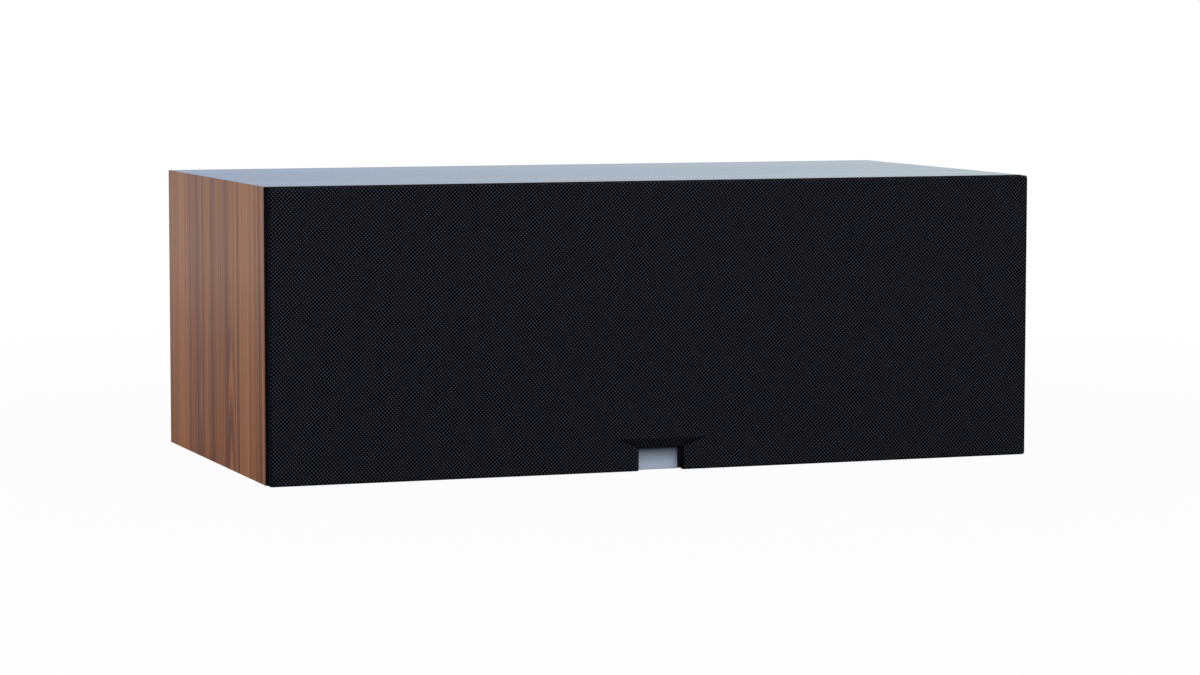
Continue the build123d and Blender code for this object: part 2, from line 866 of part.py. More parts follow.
# Crossover board and the row of parts on it
board_z = floor_z + spacer_height
board_top = board_z + board_thickness
board_rear_y = panel_inner_y - board_rear_gap
board_front_y = board_rear_y - board_length
board_mid_y = (board_front_y + board_rear_y) / 2
hole_pitch_x = board_width - 2 * board_hole_inset
hole_pitch_y = board_length - 2 * board_hole_inset
woofer_coil_y = board_front_y + pad_zone + woofer_coil_r + coil_flange_lip
tweeter_coil_y = woofer_coil_y + woofer_coil_r + tweeter_coil_r + 2 * coil_flange_lip + part_spacing
capacitor_y = tweeter_coil_y + tweeter_coil_r + coil_flange_lip + part_spacing + electrolytic_r
resistor_y = capacitor_y + electrolytic_r + part_spacing + resistor_width / 2
input_pad_y = board_rear_y - pad_inset
with BuildPart(Plane.XY.offset(board_top)) as crossover_board:
    with BuildSketch(Plane.XY.offset(board_z)):
        with Locations((0, board_mid_y)):
            Rectangle(board_width, board_length)
    extrude(amount=board_thickness)
    with Locations((0, board_mid_y)):
        with GridLocations(hole_pitch_x, hole_pitch_y, 2, 2):
            Hole(small_screw_r + screw_gap)

with BuildPart() as board_spacers:
    with BuildSketch(Plane.XY.offset(floor_z)):
        with Locations((0, board_mid_y)):
            with GridLocations(hole_pitch_x, hole_pitch_y, 2, 2):
                Circle(spacer_r)
                Circle(small_screw_r + screw_gap, mode=Mode.SUBTRACT)
    extrude(amount=spacer_height)


def inductor(y, bore_r, winding_r, height):
    flange_top = board_top + coil_flange
    winding_top = flange_top + height
    with BuildPart() as part:
        with BuildSketch(Plane(origin=(0, y, 0), x_dir=(1, 0, 0), z_dir=(0, -1, 0))):
            ring(bore_r, winding_r + coil_flange_lip, board_top, flange_top)
            ring(bore_r, winding_r, flange_top, winding_top)
            ring(bore_r, winding_r + coil_flange_lip, winding_top, winding_top + coil_flange)
        revolve(axis=Axis((0, y, 0), (0, 0, 1)))
    return part.part


capacitor_x = board_width / 4
with BuildPart() as woofer_capacitor:
    with BuildSketch(Plane.YZ.offset(-capacitor_x - electrolytic_length / 2)):
        with Locations((capacitor_y, board_top + electrolytic_r)):
            Circle(electrolytic_r)
    extrude(amount=electrolytic_length)
    chamfer(woofer_capacitor.edges().filter_by(GeomType.CIRCLE), electrolytic_groove)

with BuildPart() as tweeter_capacitor:
    with BuildSketch(Plane.XY.offset(board_top)):
        with Locations((capacitor_x, capacitor_y)):
            Rectangle(film_length, film_width)
    extrude(amount=film_height)
    fillet(tweeter_capacitor.edges().filter_by(Axis.Z), electrolytic_groove)

with BuildPart() as tweeter_resistor:
    with BuildSketch(Plane.XY.offset(board_top)):
        with Locations((0, resistor_y)):
            Rectangle(resistor_length, resistor_width)
    extrude(amount=resistor_height)

with BuildPart(Plane.XY.offset(floor_z), mode=Mode.PRIVATE) as board_pilots:
    with Locations((0, board_mid_y)):
        with GridLocations(hole_pitch_x, hole_pitch_y, 2, 2):
            Cylinder(
                small_screw_r + screw_gap,
                small_screw_length - spacer_height - board_thickness + screw_gap,
                align=(Align.CENTER, Align.CENTER, Align.MAX),
            )
with cabinet_sleeve:
    add(board_pilots.part, mode=Mode.SUBTRACT)


# Screws with countersunk or flat-seated heads
def countersunk_screw(head_r, shank_r, length):
    head = head_r - shank_r
    Cone(shank_r, head_r, head, align=(Align.CENTER, Align.CENTER, Align.MAX))
    Cylinder(shank_r, length, align=(Align.CENTER, Align.CENTER, Align.MAX))


with BuildPart(front_plane(baffle_face_y + trim_thickness)) as woofer_screws:
    with Locations(*[(side * woofer_x, mid_z) for side in sides.values()]):
        with PolarLocations(woofer_screw_circle, spokes):
            countersunk_screw(woofer_head_r, woofer_screw_r, woofer_screw_length)

with BuildPart() as small_screws:
    with Locations(front_plane(baffle_face_y)):
        with Locations((0, mid_z)):
            with PolarLocations(tweeter_screw_circle, tweeter_screws, start_angle=45):
                countersunk_screw(small_head_r, small_screw_r, small_screw_length)
    with Locations(rear_plane(rear_y)):
        with Locations((0, mid_z)):
            with GridLocations(cup_screw_pitch_x, cup_screw_pitch_z, 2, 2):
                countersunk_screw(small_head_r, small_screw_r, small_screw_length)
    with Locations(Plane.XY.offset(board_top)):
        with Locations((0, board_mid_y)):
            with GridLocations(hole_pitch_x, hole_pitch_y, 2, 2):
                Cylinder(small_head_r, small_screw_r, align=(Align.CENTER, Align.CENTER, Align.MIN))
                Cylinder(small_screw_r, small_screw_length, align=(Align.CENTER, Align.CENTER, Align.MAX))

# Push-on tabs on the drivers and solder lugs on the posts
strip_inner_x = woofer_x - landing_r - strip_gap
strip_outer_x = strip_inner_x - strip_length
woofer_tab_x = strip_outer_x + tab_inset
strip_front_y = baffle_face_y + landing_back
woofer_tab_y = strip_front_y + strip_thickness
tweeter_tab_y = baffle_face_y + tweeter_back
tweeter_tab_z = mid_z - tweeter_tab_drop
lug_y = rear_y - floor_inner
with BuildPart() as terminal_tabs:
    with BuildSketch(front_plane(strip_front_y)):
        for side in sides.values():
            with Locations((side * (strip_inner_x + strip_outer_x) / 2, mid_z)):
                Rectangle(strip_length, strip_width)
    extrude(amount=-strip_thickness)
    with BuildSketch(front_plane(woofer_tab_y)):
        for side in sides.values():
            with Locations((side * woofer_tab_x, mid_z)):
                with GridLocations(0, tab_spacing, 1, 2):
                    Rectangle(tab_thickness, tab_width)
    extrude(amount=-tab_length)
    with BuildSketch(front_plane(tweeter_tab_y)):
        with Locations((0, tweeter_tab_z)):
            with GridLocations(tab_spacing, 0, 2, 1):
                Rectangle(tab_width, tab_thickness)
    extrude(amount=-tab_length)
    with BuildSketch(front_plane(lug_y)):
        with Locations((0, mid_z)):
            with GridLocations(post_spacing, 0, 2, 1):
                Circle(post_collar_r)
        with Locations((0, mid_z - lug_length / 2)):
            with GridLocations(post_spacing, 0, 2, 1):
                Rectangle(lug_width, lug_length)
        with Locations((0, mid_z)):
            with GridLocations(post_spacing, 0, 2, 1):
                Circle(post_r + thread_gap, mode=Mode.SUBTRACT)
    extrude(amount=lug_thickness)


# Leads inside the cabinet
def lead(points):
    # Round tube along a route whose bends are as wide as their runs allow
    runs = [Vector(*end) - Vector(*start) for start, end in zip(points, points[1:])]
    bends = []
    for before, after in zip(runs, runs[1:]):
        turn = acos(before.normalized().dot(after.normalized()))
        bends.append(lead_bend_share * min(before.length, after.length) / tan(turn / 2))
    with BuildLine() as route:
        FilletPolyline(*points, radius=bends)
    with BuildSketch(Plane(origin=points[0], z_dir=runs[0])) as section:
        Circle(lead_r)
    sweep(sections=section.sketch, path=route.wire())


woofer_pad_x = board_width / 2 - pad_inset
tweeter_pad_y = board_front_y + pad_inset / 2
lug_lead_z = mid_z - lug_length + lug_solder
with BuildPart() as leads:
    for side in sides.values():
        for half in (-tab_spacing / 2, tab_spacing / 2):
            tab_z = mid_z + half
            pad_y = tweeter_coil_y + half
            lead([
                (side * woofer_tab_x, woofer_tab_y + tab_length, tab_z),
                (side * woofer_tab_x, woofer_tab_y + tab_length + lead_run, tab_z),
                (side * (woofer_pad_x + lead_reach), pad_y - lead_drop, tab_z - lead_drop),
                (side * woofer_pad_x, pad_y, board_top + lead_rise),
                (side * woofer_pad_x, pad_y, board_top),
            ])
    for x in (-tab_spacing / 2, tab_spacing / 2):
        lead([
            (x, tweeter_tab_y + tab_length, tweeter_tab_z),
            (x, tweeter_pad_y, tweeter_tab_z),
            (x, tweeter_pad_y, board_top),
        ])
    for x in (-post_spacing / 2, post_spacing / 2):
        lead([
            (x, lug_y - lug_thickness, lug_lead_z),
            (x, input_pad_y, lug_lead_z),
            (x, input_pad_y, board_top),
        ])


# Grille: a frame whose front, sides and notch are wrapped in cloth
def grille_block(skin):
    # Outline of the grille, drawn in by a skin on its face, its edges, its notch and its scoop
    width = cabinet_width - 2 * grille_inset - 2 * skin
    height = cabinet_height - 2 * grille_inset - 2 * skin
    notch_half = notch_width / 2 + skin
    slope = scoop_height / scoop_depth
    flank = (scoop_width - notch_width) / 2 / scoop_height
    side_skin = skin * sqrt(1 + flank**2)
    base = notch_top + skin
    brow = notch_top + scoop_height + skin * sqrt(1 + slope**2)
    base_depth = (brow - base) / slope
    base_half = notch_width / 2 + (base - notch_top) * flank + side_skin
    brow_half = notch_width / 2 + (brow - notch_top) * flank + side_skin
    with BuildPart() as scoop:
        with BuildSketch(front_plane(grille_face_y)):
            with BuildLine():
                Polyline(
                    (-brow_half, brow),
                    (brow_half, brow),
                    (base_half, base),
                    (-base_half, base),
                    close=True,
                )
            make_face()
        extrude(amount=-grille_thickness)
        with BuildSketch(Plane.YZ):
            with BuildLine():
                Polyline(
                    (grille_face_y, brow),
                    (grille_face_y + base_depth, base),
                    (grille_face_y, base),
                    close=True,
                )
            make_face()
        extrude(amount=scoop_width, both=True, mode=Mode.INTERSECT)
    with BuildPart() as block:
        with BuildSketch(front_plane(grille_back_y)):
            with Locations((0, mid_z)):
                RectangleRounded(width, height, grille_corner_radius - skin)
        extrude(amount=grille_thickness - skin)
        fillet(block.faces().sort_by(Axis.Y)[0].edges(), grille_edge_radius - skin)
        with BuildSketch(front_plane(grille_back_y)):
            with Locations((0, 0)):
                Rectangle(2 * notch_half, 2 * (notch_top + skin))
        extrude(amount=grille_thickness, mode=Mode.SUBTRACT)
        notch_feet = block.edges().filter_by(Axis.Y).filter_by_position(Axis.X, -notch_half, notch_half)
        fillet(notch_feet.group_by(Axis.Z)[0], notch_corner_radius - skin)
        add(scoop.part, mode=Mode.SUBTRACT)
    return block.part


with BuildPart() as grille_core:
    add(grille_block(cloth))
    with BuildSketch(front_plane(grille_back_y)):
        with Locations((0, mid_z)):
            Rectangle(cabinet_width, cabinet_height)
            Rectangle(cabinet_width - 2 * hem_width, cabinet_height - 2 * hem_width, mode=Mode.SUBTRACT)
    extrude(amount=cloth, mode=Mode.SUBTRACT)

with BuildPart() as grille_cloth:
    add(grille_block(0))
    add(grille_core.part, mode=Mode.SUBTRACT)

with BuildPart() as grille_frame:
    add(grille_core.part)
    with BuildSketch(front_plane(grille_back_y)):
        with Locations(*[(side * woofer_x, mid_z) for side in sides.values()]):
            Circle(basket_r + window_edge)
        with Locations((0, mid_z)):
            Circle(waveguide_mouth_r + tweeter_window_edge)
    extrude(amount=grille_thickness, mode=Mode.SUBTRACT)
    with BuildSketch(front_plane(grille_back_y)):
        with Locations((0, mid_z)):
            with GridLocations(magnet_pitch_x, magnet_pitch_z, 4, 2):
                Circle(magnet_r + magnet_fit)
    extrude(amount=grille_magnet_depth, mode=Mode.SUBTRACT)

with BuildPart() as grille_magnets:
    with BuildSketch(front_plane(grille_back_y)):
        with Locations((0, mid_z)):
            with GridLocations(magnet_pitch_x, magnet_pitch_z, 4, 2):
                Circle(magnet_r)
    extrude(amount=grille_magnet_depth)

with BuildPart() as baffle_magnets:
    with BuildSketch(front_plane(baffle_face_y + magnet_cover)):
        with Locations((0, mid_z)):
            with GridLocations(magnet_pitch_x, magnet_pitch_z, 4, 2):
                Circle(magnet_r)
    extrude(amount=-baffle_magnet_depth)

with BuildPart() as badge_plate:
    with BuildSketch(front_plane(baffle_face_y)):
        with Locations((0, badge_base + badge_height / 2)):
            RectangleRounded(badge_width, badge_height, badge_corner)
    extrude(amount=-badge_thickness)
    chamfer(badge_plate.faces().sort_by(Axis.Y)[0].edges(), badge_bevel)

# Every piece by name
woofer_pieces = {
    "trim_ring": trim_ring,
    "basket": basket,
    "surround": surround,
    "cone": cone,
    "dust_cap": dust_cap,
    "spider": spider,
    "voice_coil": voice_coil,
    "front_plate": front_plate,
    "magnet": ring_magnet,
    "yoke": yoke,
}
for side_name, side in sides.items():
    save(window_brace(side * brace_x), f"brace_{side_name}")
    save(port(side * port_x), f"port_{side_name}")
    for piece, build in woofer_pieces.items():
        save(build(side * woofer_x), f"woofer_{side_name}_{piece}")
for colour, x in {"red": -post_spacing / 2, "black": post_spacing / 2}.items():
    save(post(x), f"{colour}_post")
    save(post_insert(x), f"{colour}_insert")
    save(post_cap(x), f"{colour}_cap")
save(inductor(woofer_coil_y, woofer_coil_bore_r, woofer_coil_r, woofer_coil_height), "woofer_inductor")
save(inductor(tweeter_coil_y, tweeter_coil_bore_r, tweeter_coil_r, tweeter_coil_height), "tweeter_inductor")
save(cabinet_sleeve.part, "cabinet_sleeve")
save(front_baffle.part, "front_baffle")
save(rear_panel.part, "rear_panel")
save(wadding.part, "wadding")
save(tweeter_faceplate.part, "tweeter_faceplate")
save(tweeter_surround.part, "tweeter_surround")
save(tweeter_dome.part, "tweeter_dome")
save(tweeter_voice_coil.part, "tweeter_voice_coil")
save(tweeter_front_plate.part, "tweeter_front_plate")
save(tweeter_magnet.part, "tweeter_magnet")
save(tweeter_yoke.part, "tweeter_yoke")
save(tweeter_rear_cup.part, "tweeter_rear_cup")
save(terminal_cup.part, "terminal_cup")
save(post_nuts.part, "post_nuts")
save(crossover_board.part, "crossover_board")
save(board_spacers.part, "board_spacers")
save(woofer_capacitor.part, "woofer_capacitor")
save(tweeter_capacitor.part, "tweeter_capacitor")
save(tweeter_resistor.part, "tweeter_resistor")
save(woofer_screws.part, "woofer_screws")
save(small_screws.part, "small_screws")
save(terminal_tabs.part, "terminal_tabs")
save(leads.part, "leads")
save(grille_frame.part, "grille_frame")
save(grille_cloth.part, "grille_cloth")
save(grille_magnets.part, "grille_magnets")
save(baffle_magnets.part, "baffle_magnets")
save(badge_plate.part, "badge_plate")
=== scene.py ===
import math
import bmesh
import bpy
import numpy as np
from mathutils import Matrix, Vector


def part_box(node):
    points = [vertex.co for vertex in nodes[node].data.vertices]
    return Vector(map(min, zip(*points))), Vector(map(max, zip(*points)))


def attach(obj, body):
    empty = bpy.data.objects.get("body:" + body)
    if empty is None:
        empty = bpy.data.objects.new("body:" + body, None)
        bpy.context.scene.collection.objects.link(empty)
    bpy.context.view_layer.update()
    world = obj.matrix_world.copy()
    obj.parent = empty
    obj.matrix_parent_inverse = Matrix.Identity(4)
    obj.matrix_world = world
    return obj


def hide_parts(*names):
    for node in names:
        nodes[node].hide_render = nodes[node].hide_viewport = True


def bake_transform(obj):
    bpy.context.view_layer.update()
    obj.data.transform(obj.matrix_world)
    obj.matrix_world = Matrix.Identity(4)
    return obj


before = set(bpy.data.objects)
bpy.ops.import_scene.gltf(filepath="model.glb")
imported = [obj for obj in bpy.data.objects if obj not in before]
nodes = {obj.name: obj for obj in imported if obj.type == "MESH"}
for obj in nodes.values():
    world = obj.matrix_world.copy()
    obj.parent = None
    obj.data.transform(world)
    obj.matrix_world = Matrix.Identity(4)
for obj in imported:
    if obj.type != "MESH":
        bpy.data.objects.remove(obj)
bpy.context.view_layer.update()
scene = bpy.context.scene
scene.view_settings.view_transform = "Standard"
mm = 0.001
tiny = 1e-6  # m, points nearer than this are one
print("frame loaded,", len(nodes), "nodes")


# camera
camera = {
    "place": (-872.5, -2408.0, 303.6),  # mm
    "yaw": 20.04, "pitch": 5.066, "roll": 0.055,  # degrees, to the right, down, clockwise
    "lens": 112.13, "sensor": 36.0,  # mm
    "clip": (0.05, 200),  # m
}


def makeCamera(spec):
    yaw, pitch, roll = (math.radians(spec[key]) for key in ("yaw", "pitch", "roll"))
    level = math.cos(pitch)
    look = Vector((math.sin(yaw) * level, math.cos(yaw) * level, -math.sin(pitch)))
    right = Vector((math.cos(yaw), -math.sin(yaw), 0))
    up = right.cross(look)
    side = right * math.cos(roll) + up * math.sin(roll)
    top = up * math.cos(roll) - right * math.sin(roll)
    data = bpy.data.cameras.new("photoCamera")
    data.lens, data.sensor_width, data.sensor_fit = spec["lens"], spec["sensor"], "HORIZONTAL"
    data.clip_start, data.clip_end = spec["clip"]
    eye = bpy.data.objects.new("photoCamera", data)
    turn = Matrix((side, top, -look)).transposed().to_4x4()
    eye.matrix_world = Matrix.Translation(Vector(spec["place"]) * mm) @ turn
    scene.collection.objects.link(eye)
    scene.camera = eye


makeCamera(camera)
print("camera set")


class Wire:  # an output socket that takes part in shader expressions
    def __init__(self, tree, socket=None):
        self.tree, self.socket = tree, socket

    def make(self, kind, settings=None, sockets=None, out=0):
        node = self.tree.nodes.new("ShaderNode" + kind)
        for key, value in (settings or {}).items():
            if key == "stops":
                colours = node.color_ramp.elements
                while len(colours) < len(value):
                    colours.new(0.5)
                for stop, (position, colour) in zip(colours, value):
                    stop.position, stop.color = position, (*colour, 1.0)
            else:
                setattr(node, key, value)
        for key, value in (sockets or {}).items():
            if isinstance(value, Wire):
                self.tree.links.new(value.socket, node.inputs[key])
            else:
                node.inputs[key].default_value = value
        return Wire(self.tree, node.outputs[out] if node.outputs else None)

    def math(self, operation, *values):
        return self.make("Math", {"operation": operation}, dict(enumerate(values)))

    def __add__(self, other):
        return self.math("ADD", self, other)

    def __radd__(self, other):
        return self.math("ADD", other, self)

    def __sub__(self, other):
        return self.math("SUBTRACT", self, other)

    def __rsub__(self, other):
        return self.math("SUBTRACT", other, self)

    def __mul__(self, other):
        return self.math("MULTIPLY", self, other)

    def __rmul__(self, other):
        return self.math("MULTIPLY", other, self)

    def __truediv__(self, other):
        return self.math("DIVIDE", self, other)

    def __pow__(self, other):
        return self.math("POWER", self, other)


def newMaterial(name):
    material = bpy.data.materials.new(name)
    material.use_nodes = True
    tree = material.node_tree
    tree.nodes.clear()
    return material, Wire(tree)


def surface(material, wire, sockets):
    shader = wire.make("BsdfPrincipled", None, sockets)
    wire.make("OutputMaterial", None, {"Surface": shader})
    return material


def place(wire):
    return wire.make("TexCoord", None, None, "Object")


def facing(wire):  # which way the surface looks
    return wire.make("TexCoord", None, None, "Normal")


def axis(wire, vector, letter):
    return wire.make("SeparateXYZ", None, {"Vector": vector}, letter)


def noise(wire, where, scale, detail=4.0, rough=0.55, warp=0.0):
    return wire.make("TexNoise", {"noise_dimensions": "3D"}, {
        "Vector": where, "Scale": scale, "Detail": detail, "Roughness": rough, "Distortion": warp})


def bump(wire, height, strength, distance):
    return wire.make("Bump", None, {"Height": height, "Strength": strength, "Distance": distance})


def fade(wire, value, start, end, first=0.0, last=1.0, kind="LINEAR"):
    return wire.make("MapRange", {"interpolation_type": kind}, {
        "Value": value, "From Min": start, "From Max": end, "To Min": first, "To Max": last})


def clamp(wire, value):
    return wire.math("MINIMUM", wire.math("MAXIMUM", value, 0.0), 1.0)


def around(middle, swing, value):  # swings about the middle as a value goes from 0 to 1
    return middle - swing / 2 + swing * value


def shaded(wire, colour, shade):
    return wire.make("VectorMath", {"operation": "SCALE"}, {0: colour, "Scale": shade})


def mixColour(wire, factor, a, b):
    a = a if isinstance(a, Wire) else (*a, 1.0)
    b = b if isinstance(b, Wire) else (*b, 1.0)
    return wire.make("Mix", {"data_type": "RGBA"}, {0: factor, 6: a, 7: b}, 2)


def paint(nodeNames, material):
    for name in nodeNames:
        data = nodes[name].data
        data.materials.clear()
        data.materials.append(material)


def newPiece(name, mesh, material=None):
    data = bpy.data.meshes.new(name)
    mesh.to_mesh(data)
    mesh.free()
    if material:
        data.materials.append(material)
    piece = bpy.data.objects.new(name, data)
    scene.collection.objects.link(piece)
    return piece


# mouldings, metals and papers: a base colour with fine grain, and the nodes that wear it
bothSides = ("left", "right")


def woofers(*pieces):
    return [f"woofer_{side}_{piece}" for side in bothSides for piece in pieces]


copper = {"colour": (0.60, 0.24, 0.10), "spread": 0.3, "grain": 300, "rough": 0.3, "bump": 0.2, "metal": 1.0}
brass = {"colour": (0.78, 0.55, 0.20), "spread": 0.12, "grain": 500, "rough": 0.22, "metal": 1.0}
knob = {"spread": 0.2, "grain": 600, "rough": 0.25, "bump": 0.02}
finishes = {
    "blackBaffle": {
        "nodes": ["front_baffle"], "colour": (0.004, 0.004, 0.0045), "face": (0.007, 0.007, 0.0078),
        "spread": 0.6, "grain": 700, "rough": 0.7, "bump": 0.12, "index": 1.06},
    "innerBoard": {
        "nodes": ["brace_left", "brace_right"], "colour": (0.42, 0.29, 0.17),
        "spread": 0.25, "grain": 700, "rough": 0.85, "bump": 0.05},
    "blackTrim": {
        "nodes": woofers("trim_ring"), "colour": (0.012, 0.012, 0.013),
        "spread": 0.2, "grain": 1500, "rough": 0.38, "bump": 0.015},
    "blackMoulding": {
        "nodes": ["port_left", "port_right", "tweeter_faceplate", "tweeter_rear_cup", "terminal_cup",
                  "board_spacers"],
        "colour": (0.014, 0.014, 0.015), "spread": 0.3, "grain": 2200, "rough": 0.5, "bump": 0.08},
    "basketSteel": {
        "nodes": woofers("basket"), "colour": (0.016, 0.016, 0.017),
        "spread": 0.3, "grain": 1400, "rough": 0.45, "bump": 0.06},
    "surroundRubber": {
        "nodes": woofers("surround") + ["tweeter_surround"], "colour": (0.014, 0.014, 0.015),
        "spread": 0.3, "grain": 1200, "rough": 0.55, "bump": 0.04},
    "conePaper": {
        "nodes": woofers("cone", "dust_cap"), "colour": (0.022, 0.022, 0.024),
        "spread": 0.6, "grain": 500, "rough": 0.62, "bump": 0.12},
    "spiderCloth": {
        "nodes": woofers("spider"), "colour": (0.40, 0.27, 0.11),
        "spread": 0.4, "grain": 1600, "rough": 0.85, "bump": 0.2},
    "voiceCoilCopper": {
        **copper, "nodes": woofers("voice_coil") + ["tweeter_voice_coil"], "turns": ("Y", 0.0005)},
    "chokeCopper": {
        **copper, "nodes": ["woofer_inductor", "tweeter_inductor"], "turns": ("Z", 0.0012)},
    "motorSteel": {
        "nodes": woofers("front_plate", "yoke") + ["tweeter_front_plate", "tweeter_yoke"],
        "colour": (0.50, 0.49, 0.46), "spread": 0.2, "grain": 400, "rough": 0.35, "bump": 0.02, "metal": 1.0},
    "ferrite": {
        "nodes": woofers("magnet") + ["tweeter_magnet"], "colour": (0.03, 0.03, 0.032),
        "spread": 0.4, "grain": 1000, "rough": 0.55, "bump": 0.08},
    "brightMagnet": {
        "nodes": ["grille_magnets", "baffle_magnets"], "colour": (0.62, 0.61, 0.58),
        "spread": 0.1, "grain": 500, "rough": 0.18, "bump": 0.01, "metal": 1.0},
    "domeAluminium": {
        "nodes": ["tweeter_dome"], "colour": (0.66, 0.67, 0.68),
        "spread": 0.08, "grain": 900, "rough": 0.32, "bump": 0.02, "metal": 1.0},
    "postBrass": {
        **brass, "nodes": ["red_insert", "black_insert", "post_nuts"], "bump": 0.01},
    "threadBrass": {
        **brass, "nodes": ["red_post", "black_post"], "bump": 0.2, "turns": ("Y", 0.0008)},
    "blackKnob": {**knob, "nodes": ["black_cap"], "colour": (0.010, 0.010, 0.011)},
    "redKnob": {**knob, "nodes": ["red_cap"], "colour": (0.42, 0.010, 0.010)},
    "boardLaminate": {
        "nodes": ["crossover_board"], "colour": (0.02, 0.12, 0.05),
        "spread": 0.3, "grain": 800, "rough": 0.4, "bump": 0.04},
    "capacitorSleeve": {
        "nodes": ["woofer_capacitor"], "colour": (0.015, 0.018, 0.05),
        "spread": 0.2, "grain": 700, "rough": 0.35, "bump": 0.03},
    "capacitorCase": {
        "nodes": ["tweeter_capacitor"], "colour": (0.50, 0.28, 0.03),
        "spread": 0.2, "grain": 700, "rough": 0.4, "bump": 0.04},
    "resistorCeramic": {
        "nodes": ["tweeter_resistor"], "colour": (0.62, 0.60, 0.55),
        "spread": 0.2, "grain": 900, "rough": 0.8, "bump": 0.15},
    "blackScrews": {
        "nodes": ["woofer_screws", "small_screws"], "colour": (0.03, 0.03, 0.032),
        "spread": 0.3, "grain": 800, "rough": 0.35, "bump": 0.03, "metal": 0.8},
    "tabTin": {
        "nodes": ["terminal_tabs"], "colour": (0.66, 0.65, 0.62),
        "spread": 0.15, "grain": 600, "rough": 0.3, "bump": 0.02, "metal": 1.0},
    "leadJacket": {
        "nodes": ["leads"], "colour": (0.03, 0.03, 0.034),
        "spread": 0.3, "grain": 600, "rough": 0.5, "bump": 0.03},
    "grilleMoulding": {
        "nodes": ["grille_frame"], "colour": (0.012, 0.012, 0.013),
        "spread": 0.3, "grain": 1500, "rough": 0.55, "bump": 0.06},
}
grainLook = {  # the same for every finish above
    "broad": 18.0, "broadDetail": 2.0, "fineShare": 0.7, "roughSwing": 0.12,
    "bumpGain": 4, "bumpDepth": 0.0002, "faceLimit": -0.9,
}


def grained(name, spec, look):
    material, wire = newMaterial(name)
    where = place(wire)
    fine = noise(wire, where, spec["grain"])
    broad = noise(wire, where, look["broad"], look["broadDetail"])
    mottle = look["fineShare"] * fine + (1 - look["fineShare"]) * broad
    colour = spec["colour"]
    if "face" in spec:  # the side that looks forward has a paler finish than the rim
        ahead = wire.math("LESS_THAN", axis(wire, facing(wire), "Y"), look["faceLimit"])
        colour = mixColour(wire, ahead, colour, spec["face"])
    if "turns" in spec:  # wire or thread round this axis, and the length of one turn along it
        letter, pitch = spec["turns"]
        fine = 0.5 + 0.5 * wire.math("SINE", axis(wire, where, letter) * (2 * math.pi / pitch))
    return surface(material, wire, {
        "Base Color": shaded(wire, colour, around(1, spec["spread"], mottle)),
        "Roughness": around(spec["rough"], look["roughSwing"], broad),
        "Metallic": spec.get("metal", 0.0), "IOR": spec.get("index", 1.5),
        "Normal": bump(wire, fine, spec["bump"] * look["bumpGain"], look["bumpDepth"]),
    })


made = {}
for finishName, finish in finishes.items():
    made[finishName] = grained(finishName, finish, grainLook)
    paint(finish["nodes"], made[finishName])
print("plain finishes done:", len(made))


# walnut: the grain runs round the cabinet, from one end over the top to the other
walnut = {
    "pale": (0.328, 0.129, 0.049), "mid": (0.233, 0.084, 0.034), "dark": (0.129, 0.047, 0.029),
    "paleAt": 0.76, "midAt": 0.46, "darkAt": 0.20,  # the tones that have these colours
    "tone": 0.54, "streakDepth": 0.55, "lineDepth": 1.0, "thinDepth": 0.16, "thinness": 9.0,
    # strips along the grain: place across the sheet and half width in mm, and how much paler or darker
    "stripes": [
        (-110, 4, -0.20), (-70, 12, 0.20), (-57, 4, -0.22), (-27, 4, -0.20), (9, 5, -0.30),
        (37, 3, -0.22), (50, 4, -0.26), (73, 4, -0.14), (93, 13, 0.25)],
    "flames": [{"across": -38, "start": 343, "width": 16}, {"across": 43, "start": 360, "width": 7}],  # mm
    "flame": {"rise": 50, "bow": 2.4, "rings": 5.0, "waver": 1.6, "depth": 0.25, "shade": 0.07},
    # layers of noise, with so many cells a metre along and across the grain
    "wander": {"along": 3.0, "across": 14.0, "seed": 0.7, "detail": 2.0, "rough": 0.55},
    "streaks": {"along": 1.6, "across": 130.0, "seed": 8.1, "detail": 2.0, "rough": 0.65},
    "lines": {"along": 2.6, "across": 330.0, "seed": 5.5, "detail": 1.0, "rough": 0.6},
    "pores": {"along": 40.0, "across": 2600.0, "seed": 1.9, "detail": 2.0, "rough": 0.5},
    "drift": 7,  # mm that the grain wanders
    "poreStart": 0.55, "poreGain": 6.0, "poreShare": 0.3, "poreShade": 0.5,
    "underShift": 1.7, "panelShift": 3.1, "panelSqueeze": 0.45,  # other stretches of the same sheet
    "turned": 0.5,  # how far a face looks along an axis before it counts as turned that way
    "frontEdge": (0.006, 0.006, 0.007), "frontEdgeDepth": 1,  # mm
    "rough": 0.10, "roughSwing": 0.06, "index": 1.085, "bump": 0.008, "bumpDepth": 0.0002, "poreBump": 0.3,
}
sleeveLow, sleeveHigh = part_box("cabinet_sleeve")


def roundTheFold(wire, spec):  # places along and across the sheet that is folded round the cabinet
    where, normal = place(wire), facing(wire)
    x, y, z = (axis(wire, where, letter) for letter in "XYZ")
    halfWidth, height = sleeveHigh.x, sleeveHigh.z
    lean = lambda letter: wire.math("ABSOLUTE", axis(wire, normal, letter))
    onRim = wire.math("GREATER_THAN", lean("Y"), spec["turned"])
    sideways = wire.math("GREATER_THAN", lean("X"), spec["turned"])
    pastEnd = wire.math("ABSOLUTE", x) - halfWidth
    pastBoard = wire.math("ABSOLUTE", z - height / 2) - height / 2
    byEnd = wire.math("GREATER_THAN", pastEnd, pastBoard)  # nearer an end than the top or the bottom
    onEnd = sideways * (1 - onRim) + byEnd * onRim
    under = wire.math("LESS_THAN", z, height / 2) * (1 - onEnd)
    down = wire.math("SIGN", x) * (halfWidth + height - z)
    along = x * (1 - onEnd) + down * onEnd + spec["underShift"] * under
    across = y + onRim * (z * (1 - onEnd) + x * onEnd)
    return along, across


